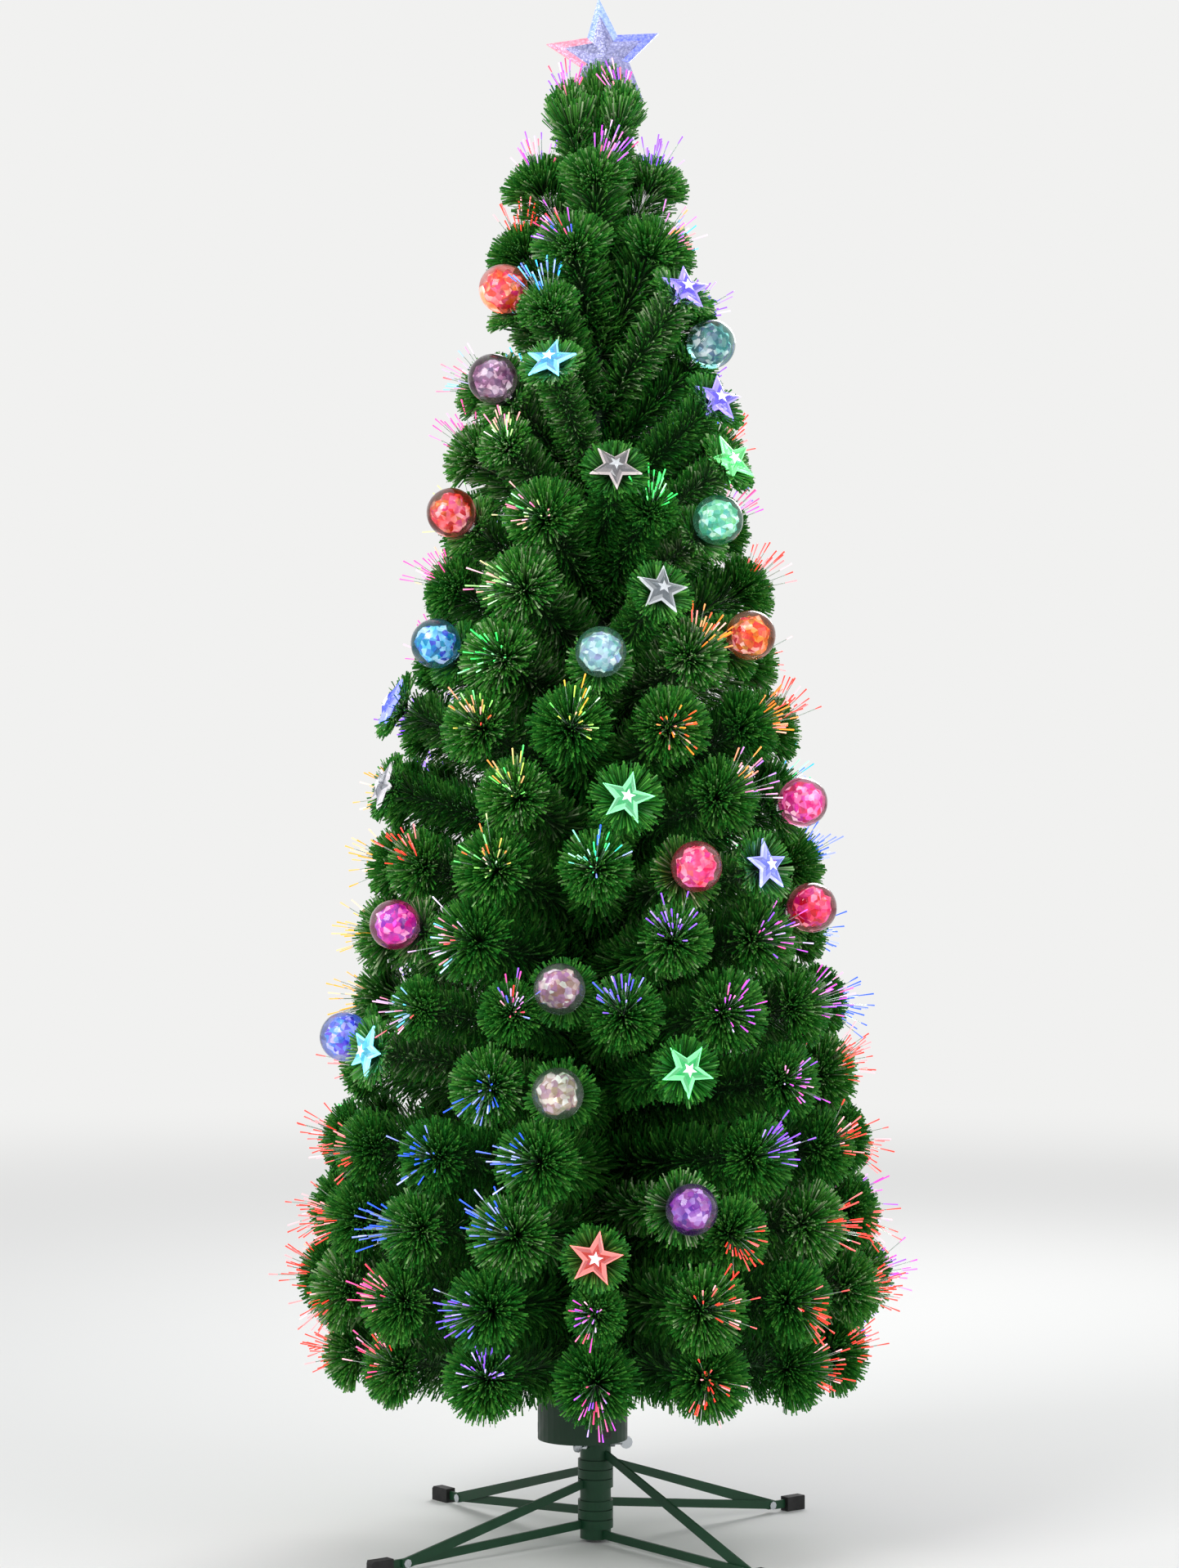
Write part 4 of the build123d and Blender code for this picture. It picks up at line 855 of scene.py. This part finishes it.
def ball_into(shape, matrix, radius, tint, crumple, dice):
    """Add a ball to a bmesh: a smooth shell, or crumpled film where crumple says how deep its folds are."""
    tint_layer = shape.loops.layers.float_color["tint"]
    made = bmesh.ops.create_icosphere(
        shape, subdivisions=3 if crumple else 4, radius=radius, matrix=matrix
    )
    for vertex in made["verts"]:
        vertex.co += (vertex.co - matrix.translation).normalized() * dice.uniform(-crumple, crumple)
        for loop in vertex.link_loops:
            loop[tint_layer] = tint


# One operator for each group of pieces

class TREE_OT_stage(bpy.types.Operator):
    """Set the pale floor, the soft studio light and the camera"""

    bl_idname = "tree.stage"
    bl_label = "Stage"

    def execute(self, context):
        floor = bpy.data.meshes.new("floor")
        corners = [(FLOOR_REACH * x, FLOOR_REACH * y, 0) for x, y in ((-1, -1), (1, -1), (1, 1), (-1, 1))]
        floor.from_pydata(corners, [], [(0, 1, 2, 3)])
        material = bpy.data.materials.new("pale_floor")
        material.use_nodes = True
        nodes = material.node_tree.nodes
        fill(nodes["Principled BSDF"], {"Base Color": linear("#e6e6e4"), "Roughness": 0.75})
        # The floor fades into the background far away
        add = partial(add_node, material.node_tree)
        place = add("ShaderNodeTexCoord").outputs["Object"]
        away = add("ShaderNodeVectorMath", {0: place}, operation="LENGTH").outputs["Value"]
        fade = add("ShaderNodeMapRange", {
            "Value": away, "From Min": 1.2, "From Max": 6.0,
        }, interpolation_type="SMOOTHSTEP")
        seen = add("ShaderNodeLightPath").outputs["Is Camera Ray"]
        far = add("ShaderNodeMath", {0: fade, 1: seen}, operation="MULTIPLY")
        white = add("ShaderNodeEmission", {"Color": linear("#f1f1f0"), "Strength": 1.0})
        mix = add("ShaderNodeMixShader", {"Fac": far, 1: nodes["Principled BSDF"], 2: white})
        fill(nodes["Material Output"], {"Surface": mix})
        floor.materials.append(material)
        new_object("floor", floor)

        # Seen straight, in a reflection or through a clear piece, the background is plain
        world = bpy.data.worlds.new("studio")
        world.use_nodes = True
        add = partial(add_node, world.node_tree)
        rays = add("ShaderNodeLightPath")
        straight = rays.outputs["Is Camera Ray"]
        for kind in ("Is Transmission Ray", "Is Glossy Ray"):
            straight = add("ShaderNodeMath", {0: straight, 1: rays.outputs[kind]}, operation="MAXIMUM")
        soft = add("ShaderNodeBackground", {"Color": linear("#f4f6fa"), "Strength": 0.55})
        plain = add("ShaderNodeBackground", {"Color": linear("#f1f1f0"), "Strength": 1.0})
        mix = add("ShaderNodeMixShader", {"Fac": straight, 1: soft, 2: plain})
        fill(world.node_tree.nodes["World Output"], {"Surface": mix})
        context.scene.world = world

        for name, place, power, size in (
            ("key", (-2.2, -2.6, 2.9), 90, 1.8),
            ("fill", (2.8, -2.0, 1.6), 38, 2.4),
            ("rim", (0.8, 2.8, 2.6), 60, 1.8),
        ):
            light = bpy.data.lights.new(name, "AREA")
            light.energy = power
            light.size = size
            aim = (Vector((0, 0, 0.9)) - Vector(place)).to_track_quat("-Z", "Y")
            new_object(name, light).matrix_world = Matrix.Translation(place) @ aim.to_matrix().to_4x4()

        camera = bpy.data.cameras.new("camera")
        camera.lens = PIXEL_FOCAL * camera.sensor_width / PHOTO_HEIGHT
        eye = new_object("camera", camera)
        eye.matrix_world = Matrix.Translation(CAMERA) @ Matrix.Rotation(pi / 2, 4, "X")
        context.scene.camera = eye
        context.scene.view_settings.view_transform = "Standard"
        return {"FINISHED"}


# What each kind of brush changes in the node tree's own values
TUFT = {"Foot at the tip": 1.15, "Foot at the back": 1.0, "Length": 1.2, "Disorder": 0.12}
STEM = {
    "Needles": 0, "Lean at the tip": 0.85, "Lean at the back": 1.1, "Foot at the tip": 1.0,
    "Foot at the back": 0.6, "Share of the stem": 0.96, "Length": 1.15, "Disorder": 0.25,
}
CREST = {
    "Lean at the tip": 0.0, "Lean at the back": 0.5, "Foot at the tip": 2.05, "Foot at the back": 2.8,
    "Length": 2.3, "Disorder": 0.12,
}
COLLAR = {
    "Lean at the tip": 0.85, "Lean at the back": 1.45, "Foot at the tip": 0.5, "Foot at the back": 0.1,
    "Length": 1.45,
}
LEADER = {
    "Needles": 0, "Needles per metre": 26000.0, "Lean at the tip": 0.2, "Lean at the back": 0.9,
    "Spread of leans": 0.6, "Foot at the tip": 0.9, "Foot at the back": 0.5, "Share of the stem": 0.9,
    "Disorder": 0.15,
}
# The leader's brush starts this far under its post, in metres, and has this length and radius
LEADER_START, LEADER_LENGTH, LEADER_RADIUS = 0.05, 0.166, 0.056
# How many times more needles the upper section has on a metre of stem
UPPER_FULLNESS = 1.3


class TREE_OT_needles(bpy.types.Operator):
    """Grow the foil needles of every branch, in place of the plain brushes"""

    bl_idname = "tree.needles"
    bl_label = "Needles"

    def execute(self, context):
        sizes = context.scene.tree_settings
        tree = brush_tree()
        shared = {
            "Needle width": sizes.needle_width,
            "Needle thickness": sizes.needle_thickness,
            "Material": foil_needles(),
        }
        seed = 3
        for body, nodes in BRANCH_NODES.items():
            per_metre = sizes.needles_per_metre * (1.0 if body == "lower_tree" else UPPER_FULLNESS)
            for node in nodes:
                branches = branches_of(node)
                collars = [branch for branch in branches if branch.is_collar]
                crest = [branch for branch in branches if branch.end.z >= CREST_HEIGHT]
                tufts = [branch for branch in branches if branch not in collars and branch not in crest]
                seed += 10
                piece = grow(f"{node}_needles", tufts, tree, {
                    **shared, **TUFT, "Needles": sizes.needles_per_tuft, "Seed": seed,
                })
                along = grow(f"{node}_stem_needles", branches, tree, {
                    **shared, **STEM, "Needles per metre": per_metre, "Seed": seed + 1,
                })
                finish_piece(along, body, "green_foil", node)
                for kind, values, members, amount, shift in (
                    ("crest", CREST, crest, sizes.needles_per_tuft, 3),
                    ("collar", COLLAR, collars, sizes.needles_per_tuft // 2, 2),
                ):
                    if members:
                        join(piece, grow(f"{node}_{kind}_needles", members, tree, {
                            **shared, **values, "Needles": amount, "Seed": seed + shift,
                        }))
                finish_piece(piece, body, "green_foil", node)
        # The leader is a brush that stands up round the star's post. The post has fewer corners than a tuft,
        # so its middle is counted as many more
        post = solids_of("leader_post")[0]
        leader = Branch([*post, *[middle_of(post)] * TUFT_CORNERS])
        leader.root = min(post, key=lambda point: point.z)
        leader.along = (middle_of(post) - leader.root).normalized()
        leader.root = leader.root - leader.along * LEADER_START
        leader.length, leader.radius = LEADER_LENGTH, LEADER_RADIUS
        leader.end = leader.root + leader.along * leader.length
        piece = grow("leader_needles", [leader], tree, {**shared, **LEADER, "Seed": 2})
        finish_piece(piece, "upper_tree", "green_foil")
        return {"FINISHED"}


class TREE_OT_fibres(bpy.types.Operator):
    """Let optical fibres stand out of every tuft, with lit ends"""

    bl_idname = "tree.fibres"
    bl_label = "Optical fibres"

    def execute(self, context):
        sizes = context.scene.tree_settings
        tree = spray_tree()
        for seed, (body, nodes) in enumerate(BRANCH_NODES.items(), start=41):
            tufts = [branch for node in nodes for branch in branches_of(node) if not branch.is_collar]
            piece = grow(f"{SECTIONS[body]}_fibres", tufts, tree, {
                "Fibres": sizes.fibres_per_tuft, "Fibre width": sizes.fibre_width,
                "Lit length": sizes.lit_length, "Lit width": sizes.lit_width, "Seed": seed,
                "Fibre material": clear_fibre(), "Light material": lit_end(),
            })
            finish_piece(piece, body, "fibre")
        return {"FINISHED"}


class TREE_OT_balls(bpy.types.Operator):
    """Make the tinted balls, each a clear shell round crumpled film"""

    bl_idname = "tree.balls"
    bl_label = "Balls"

    def execute(self, context):
        radius = context.scene.tree_settings.ball_radius
        dice = random.Random(5)
        for body, section in SECTIONS.items():
            shells, films = new_shape(), new_shape()
            for middle, outward in ornaments_of(section, "balls"):
                shell_tint, film_tint = BALL_TINTS[seen_nearest(middle, BALL_TINTS)]
                place = upright(middle, outward)
                ball_into(shells, place, radius, linear(shell_tint), 0, dice)
                ball_into(films, place, radius * FILM_RADIUS, linear(film_tint), radius * FILM_FOLDS, dice)
            shell = mesh_piece(f"{section}_ball_shells", shells, tinted_shell(), smooth=True)
            film = mesh_piece(f"{section}_ball_films", films, crumpled_film())
            finish_piece(shell, body, "tinted_plastic", f"{section}_balls")
            finish_piece(film, body, "tinted_plastic")
        return {"FINISHED"}


class TREE_OT_small_stars(bpy.types.Operator):
    """Make the small clear stars, lit from their middles"""

    bl_idname = "tree.small_stars"
    bl_label = "Small stars"

    def execute(self, context):
        radius = context.scene.tree_settings.star_radius
        for body, section in SECTIONS.items():
            shape = new_shape()
            for middle, outward in ornaments_of(section, "small_stars"):
                spot = seen_nearest(middle, STAR_TINTS)
                code, turn = STAR_TINTS[spot]
                tint = linear(code)
                pale = [channel + (1 - channel) * 0.22 for channel in tint]
                # Unlit stars keep half of the painted glow, as glints on their middles and rims
                level = 0.5 if spot in UNLIT_STARS else 1.0

                def paint(number, share):
                    """Painted light and shade: a white middle, windows round it painted dark, ridges painted
                    bright on every other facet, and a painted bright rim.
                    """
                    if share < 0.15:
                        return linear("#f6faff"), level
                    if share < 0.5:
                        return tint, level ** 2 * 0.3
                    if share < 0.8:
                        return pale, level ** 2 * (0.75 if number % 2 == 0 else 0.3)
                    return pale, level

                facing = outward
                if spot in BENT_STARS:
                    towards = (CAMERA - middle).normalized()
                    facing = Matrix.Rotation(radians(STAR_BEND), 3, outward.cross(towards)) @ outward
                back = upright(middle - outward * SMALL_STAR_BACK, facing)
                turned = back @ Matrix.Rotation(radians(-turn), 4, "Z")
                star_into(shape, turned, radius, SMALL_STAR_WAIST, SMALL_STAR_PROFILE, SMALL_STAR_WAVE, paint)
            stars = mesh_piece(f"{section}_acrylic_stars", shape, acrylic_star())
            finish_piece(stars, body, "clear_plastic", f"{section}_small_stars")
        return {"FINISHED"}


class TREE_OT_top_star(bpy.types.Operator):
    """Make the large clear star at the top, with its lit points"""

    bl_idname = "tree.top_star"
    bl_label = "Top star"

    def execute(self, context):
        radius = context.scene.tree_settings.top_star_radius
        peak = min(solids_of("top_star_front")[0], key=lambda point: point.y)
        middle = Matrix.Translation((peak.x, 0, peak.z))
        tilt = Matrix.Rotation(radians(TOP_STAR_TILT), 4, "Y")
        place = middle @ tilt @ Matrix.Rotation(pi / 2, 4, "X")
        profile = [(share, -height) for share, height in TOP_STAR_HALF[::-1]] + list(TOP_STAR_HALF)
        # The lit points' colours, by the numbers of their facets
        lights = {0: "#7fa4ff", 9: "#7fa4ff", 8: "#4a5fff", 7: "#4a5fff", 2: "#ff7a70", 1: "#ff7a70"}

        def paint(number, share):
            if share > 0.75 and number in lights:
                return linear(lights[number]), 1.0
            # Elsewhere a faint painted glow, brighter on every other facet as painted light and shade
            return linear("#b9b6f2"), 0.14 if number % 2 else 0.3

        shape = new_shape()
        star_into(shape, place, radius, TOP_STAR_WAIST, profile, TOP_STAR_WAVE, paint)
        star = mesh_piece("top_star_shell", shape, crushed_ice())
        finish_piece(star, "top_star", "clear_plastic", "top_star_front", "top_star_back")
        return {"FINISHED"}


class TREE_OT_finishes(bpy.types.Operator):
    """Give the stand, the lamp housing, the trunk and what is inside them their finishes"""

    bl_idname = "tree.finishes"
    bl_label = "Finishes"

    def execute(self, context):
        makers = {slot: partial(plain_finish, slot) for slot in PLAIN_FINISHES}
        makers.update(fibre=clear_fibre, green_wrap=wound_tape)
        for part in frame["record"]["subparts"]:
            make = wheel_film if part["node"] == "colour_wheel" else makers.get(part["material_slot"])
            if make:
                mesh = frame["nodes"][part["node"]].data
                mesh.materials.clear()
                mesh.materials.append(make())
        return {"FINISHED"}


class TREE_PT_panel(bpy.types.Panel):
    """The pieces of the tree, in the order in which they are made"""

    bl_label = "Fiber optic tree"
    bl_idname = "TREE_PT_panel"
    bl_space_type = "VIEW_3D"
    bl_region_type = "UI"
    bl_category = "Tree"

    def draw(self, context):
        column = self.layout.column()
        for name in TreeSettings.__annotations__:
            column.prop(context.scene.tree_settings, name)
        for operator in OPERATORS:
            column.operator(operator.bl_idname)


OPERATORS = (
    TREE_OT_stage, TREE_OT_finishes, TREE_OT_needles, TREE_OT_fibres,
    TREE_OT_balls, TREE_OT_small_stars, TREE_OT_top_star,
)
CLASSES = (TreeSettings, *OPERATORS, TREE_PT_panel)


def register():
    """Add the tree's settings, operators and panel to Blender."""
    for each in CLASSES:
        bpy.utils.register_class(each)
    bpy.types.Scene.tree_settings = bpy.props.PointerProperty(type=TreeSettings)


def unregister():
    """Take them out again."""
    del bpy.types.Scene.tree_settings
    for each in reversed(CLASSES):
        bpy.utils.unregister_class(each)


def main():
    """Make the whole tree."""
    register()
    for operator in OPERATORS:
        group, name = operator.bl_idname.split(".")
        getattr(getattr(bpy.ops, group), name)()


if __name__ == "__main__":
    main()
